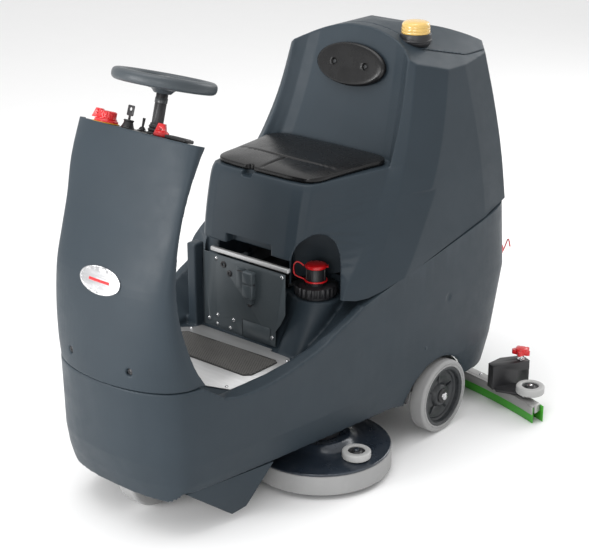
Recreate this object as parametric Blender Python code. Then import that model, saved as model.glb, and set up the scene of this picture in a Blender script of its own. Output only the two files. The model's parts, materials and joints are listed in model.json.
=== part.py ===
"""Ride-on floor scrubber: an assembly of separately named, jointed parts.

Metres, +Z up, floor at z = 0. The machine's front faces -Y and the driver's
left hand is on +X. Each moving part's origin lies on its own joint axis.
"""

import math

import bmesh
import bpy
from mathutils import Matrix, Vector

# ---- driving dimensions (metres) ----
WALL = 0.007
GAP = 0.0004
BASE_REAR = 0.661
COWL_BOTTOM = 0.396
FLOOR_PLATE_Z = 0.3275
FLOOR_PLATE_THICK = 0.003

REAR_AXLE_Y = 0.283
REAR_WHEEL_RADIUS = 0.103
REAR_WHEEL_X = 0.307
REAR_WHEEL_WIDTH = 0.046
FRONT_AXLE_Y = -0.509
FRONT_WHEEL_RADIUS = 0.100
FRONT_WHEEL_WIDTH = 0.056

COLUMN_TILT = math.radians(16)
STEER_CENTRE = (0.0, -0.426, 1.067)
STEER_RADIUS = 0.1245
CONSOLE_SLOPE = 0.34
CONSOLE_ORIGIN_Y = -0.50
CONSOLE_ORIGIN_Z = 0.957

ISOLATOR = (-0.120, -0.506)
KEY_SWITCH = (-0.064, -0.490)
TOGGLE = (-0.041, -0.466)
SPEED_KNOB = (0.047, -0.490)
DISPLAY = (0.115, -0.502)

BRUSH_X = 0.201
BRUSH_Y = -0.095
SKIRT_RADIUS = 0.188
DECK_ROLLER_X = 0.334
DECK_ROLLER_Y = -0.110
DECK_ROLLER_Z = 0.0864
DECK_ROLLER_RADIUS = 0.0375

BEACON = (0.140, 0.362)
REAR_PORT = (0.235, 0.408)
SEAT_HINGE_Y = 0.194
TANK_HINGE_Y = 0.679
TANK_HINGE_Z = 0.604
LID_HINGE_Y = 0.656
LID_HINGE_Z = 0.965
TOWER_TOP = 0.455
FILLER_X = 0.142
FILLER_Y = -0.045

SQUEEGEE_PIVOT_Y = 0.400
SQUEEGEE_ARM_Z = 0.165
SQUEEGEE_SPAN = 0.512
SQUEEGEE_ROLLER_X = 0.449
SQUEEGEE_ROLLER_Y = 0.533
SQUEEGEE_KNOB = (0.379, 0.590)

MATERIALS = {
    "body_plastic": ((0.095, 0.115, 0.135), 0.50, 0.0),
    "black_plastic": ((0.015, 0.015, 0.017), 0.45, 0.0),
    "seat_vinyl": ((0.012, 0.012, 0.013), 0.35, 0.0),
    "steering_plastic": ((0.080, 0.100, 0.120), 0.45, 0.0),
    "deck_paint": ((0.020, 0.028, 0.040), 0.40, 0.1),
    "frame_paint": ((0.030, 0.032, 0.036), 0.50, 0.3),
    "panel_paint": ((0.060, 0.072, 0.080), 0.45, 0.1),
    "light_metal": ((0.560, 0.560, 0.560), 0.40, 0.8),
    "dark_mat": ((0.100, 0.100, 0.098), 0.60, 0.3),
    "steel": ((0.450, 0.450, 0.460), 0.30, 0.9),
    "grey_rubber": ((0.330, 0.335, 0.340), 0.60, 0.0),
    "white_nylon": ((0.550, 0.555, 0.550), 0.45, 0.0),
    "black_rim": ((0.025, 0.027, 0.030), 0.45, 0.0),
    "green_rubber": ((0.040, 0.330, 0.020), 0.45, 0.0),
    "red_plastic": ((0.650, 0.012, 0.015), 0.35, 0.0),
    "amber_lens": ((0.800, 0.560, 0.140), 0.20, 0.0),
    "bristle": ((0.050, 0.060, 0.090), 0.80, 0.0),
    "battery_case": ((0.100, 0.100, 0.105), 0.55, 0.0),
    "silver_badge": ((0.600, 0.600, 0.610), 0.30, 0.8),
}


# ---- scene and mesh helpers ----
def clear_scene():
    for obj in list(bpy.data.objects):
        bpy.data.objects.remove(obj, do_unlink=True)


def material_for(name):
    found = bpy.data.materials.get(name)
    if found:
        return found
    colour, roughness, metallic = MATERIALS[name]
    made = bpy.data.materials.new(name)
    made.use_nodes = True
    shader = made.node_tree.nodes["Principled BSDF"]
    shader.inputs["Base Color"].default_value = (*colour, 1.0)
    shader.inputs["Roughness"].default_value = roughness
    shader.inputs["Metallic"].default_value = metallic
    made.diffuse_color = (*colour, 1.0)
    return made


def closed_object(bm, name="piece"):
    """Turns a bmesh into an object with outward normals."""
    bmesh.ops.remove_doubles(bm, verts=bm.verts, dist=1e-6)
    bmesh.ops.recalc_face_normals(bm, faces=bm.faces)
    mesh = bpy.data.meshes.new(name)
    bm.to_mesh(mesh)
    bm.free()
    obj = bpy.data.objects.new(name, mesh)
    bpy.context.scene.collection.objects.link(obj)
    return obj


def box(low, high):
    bm = bmesh.new()
    size = [b - a for a, b in zip(low, high)]
    centre = [(a + b) / 2 for a, b in zip(low, high)]
    matrix = Matrix.Translation(centre) @ Matrix.Diagonal((*size, 1.0))
    bmesh.ops.create_cube(bm, size=1.0, matrix=matrix)
    return closed_object(bm)


def rounded_box(low, high, radius, segments=2):
    obj = box(low, high)
    bm = bmesh.new()
    bm.from_mesh(obj.data)
    bmesh.ops.bevel(
        bm,
        geom=list(bm.edges),
        offset=radius,
        segments=segments,
        profile=0.5,
        affect="EDGES",
    )
    bm.to_mesh(obj.data)
    bm.free()
    return obj


def frame_along(start, direction):
    """A matrix that carries +Z onto the direction and the origin onto start."""
    turn = Vector((0, 0, 1)).rotation_difference(Vector(direction).normalized())
    return Matrix.Translation(start) @ turn.to_matrix().to_4x4()


def cylinder(start, end, radius, segments=24, end_radius=None):
    start = Vector(start)
    end = Vector(end)
    bm = bmesh.new()
    bmesh.ops.create_cone(
        bm,
        cap_ends=True,
        segments=segments,
        radius1=radius,
        radius2=radius if end_radius is None else end_radius,
        depth=(end - start).length,
        matrix=frame_along((start + end) / 2, end - start),
    )
    return closed_object(bm)


def lathe(profile, start, direction, segments=32):
    """Turns a closed (radius, height) profile about an axis through start."""
    bm = bmesh.new()
    columns = []
    for radius, height in profile:
        if radius < 1e-9:
            centre = bm.verts.new((0.0, 0.0, height))
            columns.append([centre] * segments)
            continue
        ring = []
        for k in range(segments):
            angle = 2 * math.pi * k / segments
            ring.append(bm.verts.new((radius * math.cos(angle), radius * math.sin(angle), height)))
        columns.append(ring)
    for lower, upper in zip(columns, columns[1:] + columns[:1]):
        if lower[0] is lower[1] and upper[0] is upper[1]:
            continue
        for k in range(segments):
            n = (k + 1) % segments
            corners = []
            for vert in (lower[k], lower[n], upper[n], upper[k]):
                if vert not in corners:
                    corners.append(vert)
            bm.faces.new(corners)
    bmesh.ops.transform(bm, matrix=frame_along(start, direction), verts=bm.verts)
    return closed_object(bm)


def prism(points, axis, low, high):
    """Extrudes a polygon along an axis; points list the other two axes in order."""
    bm = bmesh.new()
    others = [i for i in range(3) if i != axis]
    corners = []
    for point in points:
        corner = [0.0, 0.0, 0.0]
        corner[axis] = low
        corner[others[0]], corner[others[1]] = point
        corners.append(bm.verts.new(corner))
    face = bm.faces.new(corners)
    made = bmesh.ops.extrude_face_region(bm, geom=[face])
    step = [0.0, 0.0, 0.0]
    step[axis] = high - low
    moved = [g for g in made["geom"] if isinstance(g, bmesh.types.BMVert)]
    bmesh.ops.translate(bm, verts=moved, vec=step)
    return closed_object(bm)


def loft(sections):
    """A closed body through rings of equal length, capped at both ends."""
    bm = bmesh.new()
    rings = [[bm.verts.new(p) for p in section] for section in sections]
    count = len(rings[0])
    for lower, upper in zip(rings, rings[1:]):
        for i in range(count):
            j = (i + 1) % count
            bm.faces.new((lower[i], lower[j], upper[j], upper[i]))
    bm.faces.new(list(reversed(rings[0])))
    bm.faces.new(rings[-1])
    return closed_object(bm)


def tube(path, radius, sides=10, closed=False):
    """A round bar that follows a list of points."""
    points = [Vector(p) for p in path]
    count = len(points)
    bm = bmesh.new()
    rings = []
    reference = Vector((0.0, 0.0, 1.0))
    for i, point in enumerate(points):
        if closed:
            ahead = points[(i + 1) % count] - points[i - 1]
        else:
            ahead = points[min(i + 1, count - 1)] - points[max(i - 1, 0)]
        ahead.normalize()
        side = ahead.cross(reference)
        if side.length < 0.1:
            side = ahead.cross(Vector((1.0, 0.0, 0.0)))
        side.normalize()
        rise = side.cross(ahead)
        ring = []
        for k in range(sides):
            angle = 2 * math.pi * k / sides
            offset = side * math.cos(angle) + rise * math.sin(angle)
            ring.append(bm.verts.new(point + offset * radius))
        rings.append(ring)
    spans = list(zip(rings, rings[1:]))
    if closed:
        spans.append((rings[-1], rings[0]))
    for lower, upper in spans:
        for k in range(sides):
            n = (k + 1) % sides
            bm.faces.new((lower[k], lower[n], upper[n], upper[k]))
    if not closed:
        bm.faces.new(rings[0])
        bm.faces.new(rings[-1])
    return closed_object(bm)


def combine(target, operation, *tools):
    """Applies Booleans in turn and removes the tools."""
    for tool in tools:
        change = target.modifiers.new("combine", "BOOLEAN")
        change.operation = operation
        change.solver = "MANIFOLD"
        change.object = tool
        graph = bpy.context.evaluated_depsgraph_get()
        result = bpy.data.meshes.new_from_object(target.evaluated_get(graph))
        target.modifiers.clear()
        target.data = result
        bpy.data.objects.remove(tool, do_unlink=True)
    return target


def join(target, *tools):
    return combine(target, "UNION", *tools)


def cut(target, *tools):
    return combine(target, "DIFFERENCE", *tools)


def keep(target, *tools):
    return combine(target, "INTERSECT", *tools)


def copy_of(obj):
    twin = obj.copy()
    twin.data = obj.data.copy()
    bpy.context.scene.collection.objects.link(twin)
    return twin


def mirrored(obj):
    """The same shape on the other side of the machine's centre plane."""
    twin = copy_of(obj)
    twin.data.transform(Matrix.Diagonal((-1.0, 1.0, 1.0, 1.0)))
    twin.data.flip_normals()
    return twin


def turned(obj, start, direction, angle):
    """Turns a shape about an axis through start."""
    about = Matrix.Translation(start) @ Matrix.Rotation(angle, 4, Vector(direction))
    obj.data.transform(about @ Matrix.Translation(-Vector(start)))
    return obj


def node(obj, name, material, pivot=(0.0, 0.0, 0.0)):
    """Names a finished piece, paints it and puts its origin on its joint."""
    shift = Matrix.Translation(-Vector(pivot))
    obj.data.transform(shift)
    obj.location = pivot
    obj.name = name
    obj.data.name = name
    obj.data.materials.clear()
    obj.data.materials.append(material_for(material))
    for face in obj.data.polygons:
        face.material_index = 0
    return obj


def mirror_points(half):
    """A full outline from a half outline that runs from x = 0 to x = 0."""
    other = [(-x, y) for x, y in reversed(half) if abs(x) > 1e-9]
    return list(half) + other


def at_height(outline, z):
    return [(x, y, z) for x, y in outline]


def inset(outline, distance):
    """Moves each corner of a counter-clockwise outline inwards."""
    moved = []
    count = len(outline)
    for i in range(count):
        before = Vector(outline[i - 1])
        here = Vector(outline[i])
        after = Vector(outline[(i + 1) % count])
        first = (here - before).normalized()
        second = (after - here).normalized()
        normal_a = Vector((-first.y, first.x))
        normal_b = Vector((-second.y, second.x))
        bisector = normal_a + normal_b
        scale = distance / max(0.35, bisector.dot(normal_a))
        moved.append(tuple(here + bisector * scale))
    return moved


# ---- base body ----
def base_outline(front, nose, depth, shoulder, waist, flank, rear, rear_half):
    """Half plan of the base: nose curve, long flank and rounded tail."""
    return [
        (0.0, front),
        (0.45 * nose, front + 0.095 * depth),
        (0.75 * nose, front + 0.343 * depth),
        (0.92 * nose, front + 0.648 * depth),
        (nose, front + depth),
        (shoulder, -0.520),
        (waist, -0.350),
        (0.5 * (waist + flank), -0.100),
        (flank, 0.200),
        (flank, rear - 0.125),
        (rear_half, rear - 0.036),
        (0.55 * rear_half, rear - 0.006),
        (0.0, rear),
    ]


BASE_LEVELS = (
    (0.095, base_outline(-0.636, 0.200, 0.050, 0.212, 0.236, 0.300, 0.594, 0.265)),
    (0.145, base_outline(-0.654, 0.214, 0.070, 0.226, 0.250, 0.308, 0.608, 0.270)),
    (0.200, base_outline(-0.668, 0.219, 0.085, 0.234, 0.262, 0.316, 0.622, 0.275)),
    (0.395, base_outline(-0.683, 0.219, 0.105, 0.240, 0.274, 0.320, BASE_REAR, 0.285)),
    (0.610, base_outline(-0.683, 0.219, 0.105, 0.240, 0.278, 0.318, 0.640, 0.285)),
)

BASE_SIDE = (
    (-0.700, 0.096), (-0.612, 0.096), (-0.598, 0.1235), (-0.023, 0.1255), (0.091, 0.124),
    (0.144, 0.113), (0.400, 0.119), (0.560, 0.108), (0.700, 0.108), (0.700, 0.607),
    (0.542, 0.5805), (0.296, 0.5375), (0.077, 0.4950), (0.000, 0.4760), (-0.047, 0.4620),
    (-0.077, 0.447), (-0.143, 0.420), (-0.182, 0.400), (-0.255, 0.378), (-0.326, 0.360),
    (-0.396, 0.350), (-0.486, 0.354), (-0.551, COWL_BOTTOM - 0.002),
    (-0.700, COWL_BOTTOM - 0.002),
)


def base_loft(shrink):
    rings = []
    for z, half in BASE_LEVELS:
        outline = mirror_points(half)
        if shrink:
            outline = inset(outline, shrink)
        rings.append(at_height(outline, z))
    if shrink:
        rings.insert(0, [(x, y, 0.05) for x, y, _ in rings[0]])
    return loft(rings)


def well_section(y, inner, outer, top):
    """Section of the foot well between sloping sills, for the cutter."""
    floor = FLOOR_PLATE_Z - FLOOR_PLATE_THICK - GAP
    half = [(-0.36, outer), (-0.198, inner), (-0.195, floor)]
    right = [(-x, z) for x, z in reversed(half)]
    return [(x, y, z) for x, z in half + right + [(0.36, top), (-0.36, top)]]


PEDESTAL_LEVELS = (
    # height, centre, (half width, depth ahead of it), squareness, wall at its left, arc start
    (0.318, (0.1460, -0.100), (0.0450, 0.0720), 4.0, (-0.1462, -0.1462), 205),
    (0.365, (0.1475, -0.080), (0.0495, 0.0670), 3.0, (-0.1120, -0.1260), 218),
    (0.410, (0.1490, -0.060), (0.0535, 0.0620), 2.4, (-0.0800, -0.1040), 232),
    (0.455, (0.1500, -0.042), (0.0575, 0.0575), 2.0, (-0.0635, -0.0830), 247),
)


def pedestal_ring(level, steps=12):
    """Plan of the filler's pedestal: a round front that runs into a flat wall on its left."""
    z, (centre_x, centre_y), (half_width, depth), squareness, wall, start = level
    points = [(0.055, 0.035), (0.055, wall[0]), (0.0985, wall[1])]
    for k in range(steps + 1):
        angle = math.radians(start + (360 - start) * k / steps)
        x = math.copysign(abs(math.cos(angle)) ** (2 / squareness), math.cos(angle))
        y = abs(math.sin(angle)) ** (2 / squareness)
        points.append((centre_x + half_width * x, centre_y - depth * y))
    return at_height(points + [(centre_x + half_width, 0.035)], z)


def build_base():
    """The one-piece lower moulding: hollow, open below and over the batteries."""
    shell = keep(base_loft(0.0), prism(BASE_SIDE, 0, -0.36, 0.36))
    well = loft([
        well_section(-0.50, 0.343, 0.378, 0.80),
        well_section(-0.145, 0.352, 0.500, 0.80),
        well_section(0.020, 0.455, 0.540, 0.80),
    ])
    tower = box((-0.190, -0.148, 0.318), (0.064, 0.035, TOWER_TOP))
    join(tower, loft([pedestal_ring(level) for level in PEDESTAL_LEVELS]))
    cavity_side = (
        (-0.70, 0.04), (0.70, 0.04), (0.70, 0.80), (0.040, 0.80), (0.040, 0.3165),
        (-0.70, 0.3165),
    )
    cavity = keep(base_loft(WALL), prism(cavity_side, 0, -0.37, 0.37))
    tower_cavity = box((-0.176, -0.138, 0.30), (0.057, 0.10, TOWER_TOP - WALL))
    join(tower_cavity, box((0.050, -0.003, 0.30), (0.178, 0.10, TOWER_TOP - WALL)))
    front_top = box((-0.150, -0.1375, 0.36), (0.050, 0.060, 0.80))
    cut(shell, well)
    join(shell, tower)
    cut(shell, cavity, tower_cavity, front_top)
    join(shell, box((-0.190, -0.178, 0.3165), (-0.160, -0.141, 0.557)))
    cut(shell, cylinder((-0.40, 0.272, 0.083), (0.40, 0.272, 0.083), 0.134, 40))
    cut(shell, cylinder((FILLER_X, FILLER_Y, 0.30), (FILLER_X, FILLER_Y, 0.60), 0.0405, 24))
    cut(shell, cylinder((0, FRONT_AXLE_Y, 0.28), (0, FRONT_AXLE_Y, 0.60), 0.045, 24))
    cut(shell, box((-0.085, 0.560, 0.05), (0.085, 0.70, 0.185)))
    join(shell, cylinder((REAR_PORT[0], 0.625, REAR_PORT[1]), (REAR_PORT[0], 0.6565, REAR_PORT[1]),
                         0.0190, 20))
    return node(shell, "base_shell", "body_plastic")


def build_side_guards():
    """Wedge guards ahead of the brush deck, hung under the body's lower edge."""
    profile = (
        (-0.594, 0.1228), (-0.335, 0.1236), (-0.379, 0.075), (-0.420, 0.030),
        (-0.462, 0.022), (-0.540, 0.082),
    )
    side_view = prism(profile, 0, 0.10, 0.40)
    lean = loft([
        [(0.168, -0.640, 0.0), (0.234, -0.330, 0.0), (0.250, -0.330, 0.0), (0.190, -0.640, 0.0)],
        [(0.164, -0.640, 0.2), (0.230, -0.330, 0.2), (0.250, -0.330, 0.2), (0.194, -0.640, 0.2)],
    ])
    guard = keep(side_view, lean)
    node(mirrored(guard), "side_guard_right", "body_plastic")
    node(guard, "side_guard_left", "body_plastic")


# ---- steering tower ----
def console_z(y):
    return CONSOLE_ORIGIN_Z - CONSOLE_SLOPE * (y - CONSOLE_ORIGIN_Y)


COWL_LEVELS = (
    # height, half width, front, side return, end of the return
    (0.396, 0.2180, -0.683, -0.545, -0.536),
    (0.440, 0.2140, -0.680, -0.568, -0.562),
    (0.500, 0.2080, -0.674, -0.588, -0.583),
    (0.560, 0.2010, -0.668, -0.600, -0.596),
    (0.640, 0.1940, -0.657, -0.604, -0.600),
    (0.720, 0.1890, -0.634, -0.596, -0.592),
    (0.790, 0.1880, -0.610, -0.580, -0.575),
    (0.880, 0.1950, -0.581, -0.550, -0.545),
    (1.000, 0.2000, -0.542, -0.490, -0.478),
)


def cowl_curve(half_width, front, side, shrink, steps=7):
    """Plan curve of the cowl from one side to the other."""
    points = []
    for k in range(2 * steps + 1):
        angle = math.pi / 2 * (k / steps - 1)
        x = (half_width - shrink) * math.sin(angle)
        depth = (side - front - shrink) * max(0.0, math.cos(angle)) ** 0.8
        points.append((x, side - depth))
    return points


def cowl_ring(level, inner):
    z, half_width, front, side, end = level
    outer = cowl_curve(half_width, front, side, 0.0)
    outer = [(-half_width, end)] + outer + [(half_width, end)]
    inside = cowl_curve(half_width, front, side, inner)
    inside = [(-half_width + inner, end)] + inside + [(half_width - inner, end)]
    return at_height(outer + list(reversed(inside)), z)


def below_console(height, low_y=-0.80, high_y=0.0):
    """A block whose top is parallel to the console face."""
    points = (
        (low_y, 0.30), (high_y, 0.30),
        (high_y, console_z(high_y) + height), (low_y, console_z(low_y) + height),
    )
    return prism(points, 0, -0.40, 0.40)


def build_cowl():
    cowl = loft([cowl_ring(level, WALL) for level in COWL_LEVELS])
    keep(cowl, below_console(0.004))
    recess = [
        cylinder((x, -0.70, 0.440), (x, -0.664, 0.440), 0.009, 16) for x in (-0.10, 0.10)
    ]
    cut(cowl, *recess)
    node(cowl, "steering_cowl", "body_plastic")


def cover_ring(level):
    z, half_width, front, side, end = level
    front_curve = cowl_curve(half_width, front, side, WALL + 0.0035)
    if z > 0.62:
        rear = -0.447 - 0.17 * max(0.0, 0.94 - z)
    else:
        rear = -0.500 + (0.62 - z) * 0.28
    rear = max(rear, end)
    back = [(0.125, end - 0.004), (0.085, rear - 0.020), (0.045, rear), (-0.045, rear)]
    back += [(-0.085, rear - 0.020), (-0.125, end - 0.004)]
    return at_height(front_curve + back, z)


def column_bore(radius):
    """A cutter about the steering column's axis."""
    axis = Vector((0.0, math.sin(COLUMN_TILT), math.cos(COLUMN_TILT)))
    centre = Vector(STEER_CENTRE)
    return cylinder(centre - axis * 0.250, centre - axis * 0.040, radius, 20)


def build_column_cover():
    """The tower's rear half: a hollow column that carries the console."""
    cover = loft([cover_ring(level) for level in COWL_LEVELS])
    keep(cover, below_console(-0.006))
    hollow = prism(
        ((-0.60, 0.30), (-0.49, 0.30), (-0.512, 0.64), (-0.470, 0.92), (-0.530, 0.92),
         (-0.595, 0.74), (-0.635, 0.60)),
        0, -0.075, 0.075,
    )
    cut(cover, hollow)
    cut(cover, column_bore(0.030))
    node(cover, "column_cover", "body_plastic")


def on_console(x, y, height=0.0):
    """A point above the console face, and the face's own normal."""
    normal = Vector((0.0, CONSOLE_SLOPE, 1.0)).normalized()
    return Vector((x, y, console_z(y))) + normal * height, normal


def build_console():
    half = [(0.0, -0.536), (0.080, -0.533), (0.150, -0.522), (0.186, -0.506),
            (0.186, -0.500), (0.130, -0.496), (0.090, -0.462), (0.045, -0.448), (0.0, -0.448)]
    panel = prism(mirror_points(half), 2, 0.90, 1.02)
    keep(panel, below_console(0.002))
    cut(panel, below_console(-0.0055))
    cut(panel, column_bore(0.030))
    for x, y, radius in ((*ISOLATOR, 0.012), (*TOGGLE, 0.005), (*SPEED_KNOB, 0.006)):
        low, normal = on_console(x, y, -0.03)
        cut(panel, cylinder(low, low + normal * 0.06, radius, 16))
    join(panel, console_piece(((0.0, -0.004), (0.014, -0.004), (0.0105, 0.022), (0.0, 0.022)),
                              *KEY_SWITCH))
    node(panel, "console_panel", "black_plastic")


def build_badge():
    """A plain oval plate without lettering."""
    outline = [
        (0.067 * math.cos(a), 0.639 + 0.032 * math.sin(a))
        for a in [2 * math.pi * k / 32 for k in range(32)]
    ]
    plate = prism(outline, 1, -0.670, -0.640)
    node(keep(plate, loft([
        [(x, y - 0.0035, z) for x, y, z in cowl_ring(level, 0.0030)] for level in COWL_LEVELS[3:6]
    ])), "badge_plate", "silver_badge")


# ---- operator platform and panel ----
def build_platform():
    z = FLOOR_PLATE_Z
    outline = [
        (-0.187, -0.215), (-0.157, -0.184), (-0.155, -0.164), (0.096, -0.164), (0.099, -0.1750),
        (0.165, -0.1770), (0.187, -0.196), (0.180, -0.410),
        (0.120, -0.432), (0.060, -0.440), (-0.060, -0.440), (-0.120, -0.432), (-0.180, -0.410),
    ]
    plate = prism(outline, 2, z - FLOOR_PLATE_THICK, z)
    for x, y in ((-0.160, -0.198), (0.174, -0.196)):
        cut(plate, cylinder((x, y, z - 0.01), (x, y, z + 0.01), 0.0035, 12))
    mat_outline = [
        (-0.146, -0.222), (0.150, -0.212), (0.164, -0.222), (0.165, -0.318), (0.150, -0.334),
        (-0.142, -0.337), (-0.158, -0.326), (-0.166, -0.240),
    ]
    mat = prism(mat_outline, 2, z + GAP, z + GAP + 0.0022)
    node(plate, "foot_plate", "light_metal")
    node(mat, "foot_mat", "dark_mat")


def build_access_panel():
    """The service panel under the seat, with its screws and charging socket."""
    back = -0.1484
    front = back - 0.0025
    bottom = FLOOR_PLATE_Z + 0.0006
    outline = (
        (-0.1575, bottom), (0.0945, bottom), (0.0960, 0.372), (0.1130, 0.395), (0.1280, 0.425),
        (0.1280, 0.5355), (-0.1575, 0.5355),
    )
    panel = prism(outline, 1, front, back)
    cut(panel, box((-0.0205, front - 0.01, 0.300), (-0.0180, back + 0.01, 0.376)))
    screws = ((-0.110, 0.523), (0.118, 0.526), (-0.139, 0.348), (0.084, 0.351),
              (-0.108, 0.364), (-0.051, 0.364), (-0.110, 0.338), (-0.063, 0.338))
    for x, z in screws:
        head = lathe(((0.0, 0.0), (0.0052, 0.0), (0.0045, 0.0025), (0.0, 0.004)),
                     (x, front + 0.0004, z), (0, -1, 0), 12)
        join(panel, head)
    node(panel, "access_panel", "panel_paint")
    bar = rounded_box((-0.131, -0.151, 0.5405), (0.138, -0.139, 0.5525), 0.002, 1)
    node(bar, "cross_bar", "light_metal")
    socket = rounded_box((-0.002, front - 0.020, 0.446), (0.032, front - GAP, 0.520), 0.003, 1)
    join(socket, rounded_box((0.003, front - 0.015, 0.431), (0.026, front - GAP, 0.450), 0.002, 1))
    cut(socket, box((-0.010, front - 0.030, 0.4855), (0.040, front - 0.0165, 0.4890)))
    node(socket, "charger_socket", "panel_paint")


# ---- chassis and drive line ----
def build_chassis():
    """Welded steel frame: spine, battery tray, axle brackets and fork plate."""
    frame = box((-0.045, -0.560, 0.240), (0.045, 0.470, 0.278))
    join(frame, box((-0.255, -0.126, 0.270), (0.255, 0.262, 0.2825)))
    join(frame, box((-0.262, 0.258, 0.262), (0.262, 0.308, 0.283)))
    for side in (-1, 1):
        low, high = sorted((side * 0.252, side * 0.262))
        join(frame, box((low, 0.2585, 0.085), (high, 0.3075, 0.270)))
        low, high = sorted((side * 0.095, side * 0.105))
        join(frame, box((low, 0.345, 0.140), (high, 0.452, 0.272)))
    join(frame, box((-0.110, 0.330, 0.248), (0.110, 0.460, 0.276)))
    join(frame, box((-0.082, -0.590, 0.262), (0.082, -0.430, 0.280)))
    for side in (-1, 1):
        low, high = sorted((side * 0.052, side * 0.060))
        join(frame, box((low, -0.275, 0.168), (high, -0.235, 0.250)))
        join(frame, box((min(0, side * 0.060), -0.275, 0.241), (max(0, side * 0.060), -0.235, 0.262)))
    cut(frame, cylinder((0, FRONT_AXLE_Y, 0.20), (0, FRONT_AXLE_Y, 0.40), 0.0225, 20))
    cut(frame, cylinder((-0.30, REAR_AXLE_Y, REAR_WHEEL_RADIUS),
                        (0.30, REAR_AXLE_Y, REAR_WHEEL_RADIUS), 0.0105, 16))
    cut(frame, cylinder((-0.30, SQUEEGEE_PIVOT_Y, SQUEEGEE_ARM_Z),
                        (0.30, SQUEEGEE_PIVOT_Y, SQUEEGEE_ARM_Z), 0.0065, 16))
    cut(frame, cylinder((-0.30, -0.255, 0.185), (0.30, -0.255, 0.185), 0.0065, 16))
    node(frame, "chassis_frame", "frame_paint")
    axle = cylinder((-0.334, REAR_AXLE_Y, REAR_WHEEL_RADIUS),
                    (0.334, REAR_AXLE_Y, REAR_WHEEL_RADIUS), 0.010, 16)
    node(axle, "rear_axle", "steel")


def build_batteries():
    for side, name in ((-1, "battery_right"), (1, "battery_left")):
        low, high = sorted((side * 0.006, side * 0.168))
        case = rounded_box((low, 0.000, 0.283), (high, 0.250, 0.440), 0.004, 1)
        middle = (low + high) / 2
        for y in (0.022, 0.228):
            join(case, cylinder((middle, y, 0.430), (middle, y, 0.4475), 0.009, 12))
        node(case, name, "battery_case")


def wheel_tyre(centre, radius, width, inner, steps=32):
    half = width / 2
    shoulder = min(0.008, width * 0.2)
    profile = (
        (inner, -half + 0.004), (radius - 0.014, -half), (radius - 0.004, -half + 0.5 * shoulder),
        (radius, -half + shoulder), (radius, half - shoulder),
        (radius - 0.004, half - 0.5 * shoulder), (radius - 0.014, half), (inner, half - 0.004),
    )
    return lathe(profile, centre, (1, 0, 0), steps)


def rear_rim(side):
    centre = (side * REAR_WHEEL_X, REAR_AXLE_Y, REAR_WHEEL_RADIUS)
    half = REAR_WHEEL_WIDTH / 2
    profile = (
        (0.0104, -half + 0.006), (0.024, -half + 0.006), (0.024, -0.006), (0.066, -0.006),
        (0.066, -half + 0.006), (0.0746, -half + 0.006), (0.0746, half - 0.003),
        (0.070, half - 0.003), (0.058, 0.004), (0.040, 0.002), (0.032, 0.008),
        (0.026, 0.013), (0.0104, 0.013),
    )
    rim = lathe(profile, centre, (side, 0, 0), 28)
    return rim


def build_rear_wheels():
    for side, name in ((-1, "right"), (1, "left")):
        centre = (side * REAR_WHEEL_X, REAR_AXLE_Y, REAR_WHEEL_RADIUS)
        tyre = wheel_tyre(centre, REAR_WHEEL_RADIUS, REAR_WHEEL_WIDTH, 0.0750)
        node(tyre, "rear_tyre_" + name, "grey_rubber", centre)
        node(rear_rim(side), "rear_rim_" + name, "black_rim", centre)


def build_front_drive():
    centre = (0.0, FRONT_AXLE_Y, FRONT_WHEEL_RADIUS)
    x, y, z = centre
    tyre = wheel_tyre(centre, FRONT_WHEEL_RADIUS, FRONT_WHEEL_WIDTH, 0.0704, 24)
    hub = lathe(
        ((0.0106, -0.020), (0.074, -0.020), (0.074, 0.020), (0.060, 0.020), (0.052, 0.006),
         (0.022, 0.006), (0.022, 0.018), (0.0106, 0.018)), centre, (1, 0, 0), 24,
    )
    node(join(tyre, hub), "front_wheel", "grey_rubber", centre)
    fork = box((-0.052, y - 0.032, 0.208), (0.052, y + 0.032, 0.222))
    for side in (-1, 1):
        low, high = sorted((side * 0.036, side * 0.046))
        join(fork, box((low, y - 0.026, 0.078), (high, y + 0.026, 0.214)))
    join(fork, cylinder((x, y, 0.215), (x, y, 0.300), 0.0185, 20))
    join(fork, cylinder((-0.044, y, z), (0.040, y, z), 0.0100, 16))
    node(fork, "front_fork", "frame_paint", (x, y, 0.215))
    motor = cylinder((0.0465, y, z), (0.096, y, z), 0.046, 24)
    join(motor, cylinder((0.090, y, z), (0.104, y, z), 0.036, 24))
    node(motor, "drive_motor", "black_plastic", (x, y, 0.215))


def build_steering():
    axis = Vector((0.0, math.sin(COLUMN_TILT), math.cos(COLUMN_TILT)))
    centre = Vector(STEER_CENTRE)
    half_height = 0.0185
    minor = 0.0160
    rim_radius = STEER_RADIUS - minor
    profile = []
    for k in range(8):
        angle = 2 * math.pi * k / 8
        profile.append((rim_radius + minor * math.cos(angle), half_height * math.sin(angle)))
    wheel = lathe(profile, centre, axis, 32)
    join(wheel, lathe(((0.0, -0.034), (0.030, -0.034), (0.044, -0.016), (0.042, 0.004),
                       (0.030, 0.009), (0.0, 0.011)), centre, axis, 24))
    across = Vector((1.0, 0.0, 0.0))
    ahead = axis.cross(across)
    for k in range(3):
        angle = math.pi / 2 + 2 * math.pi * k / 3
        out = across * math.cos(angle) + ahead * math.sin(angle)
        start = centre + out * 0.030 - axis * 0.012
        end = centre + out * rim_radius
        join(wheel, cylinder(start, end, 0.0125, 12, 0.0105))
    node(wheel, "steering_wheel", "steering_plastic", centre)
    top = centre - axis * 0.0345
    low = centre - axis * 0.225
    column = cylinder(low, top, 0.0140, 20)
    join(column, cylinder(centre - axis * 0.135, centre - axis * 0.105, 0.020, 20))
    node(column, "steering_column", "black_plastic", centre)


# ---- console controls ----
def console_piece(profile, x, y, segments=20):
    base, normal = on_console(x, y)
    return lathe(profile, base, normal, segments)


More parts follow.
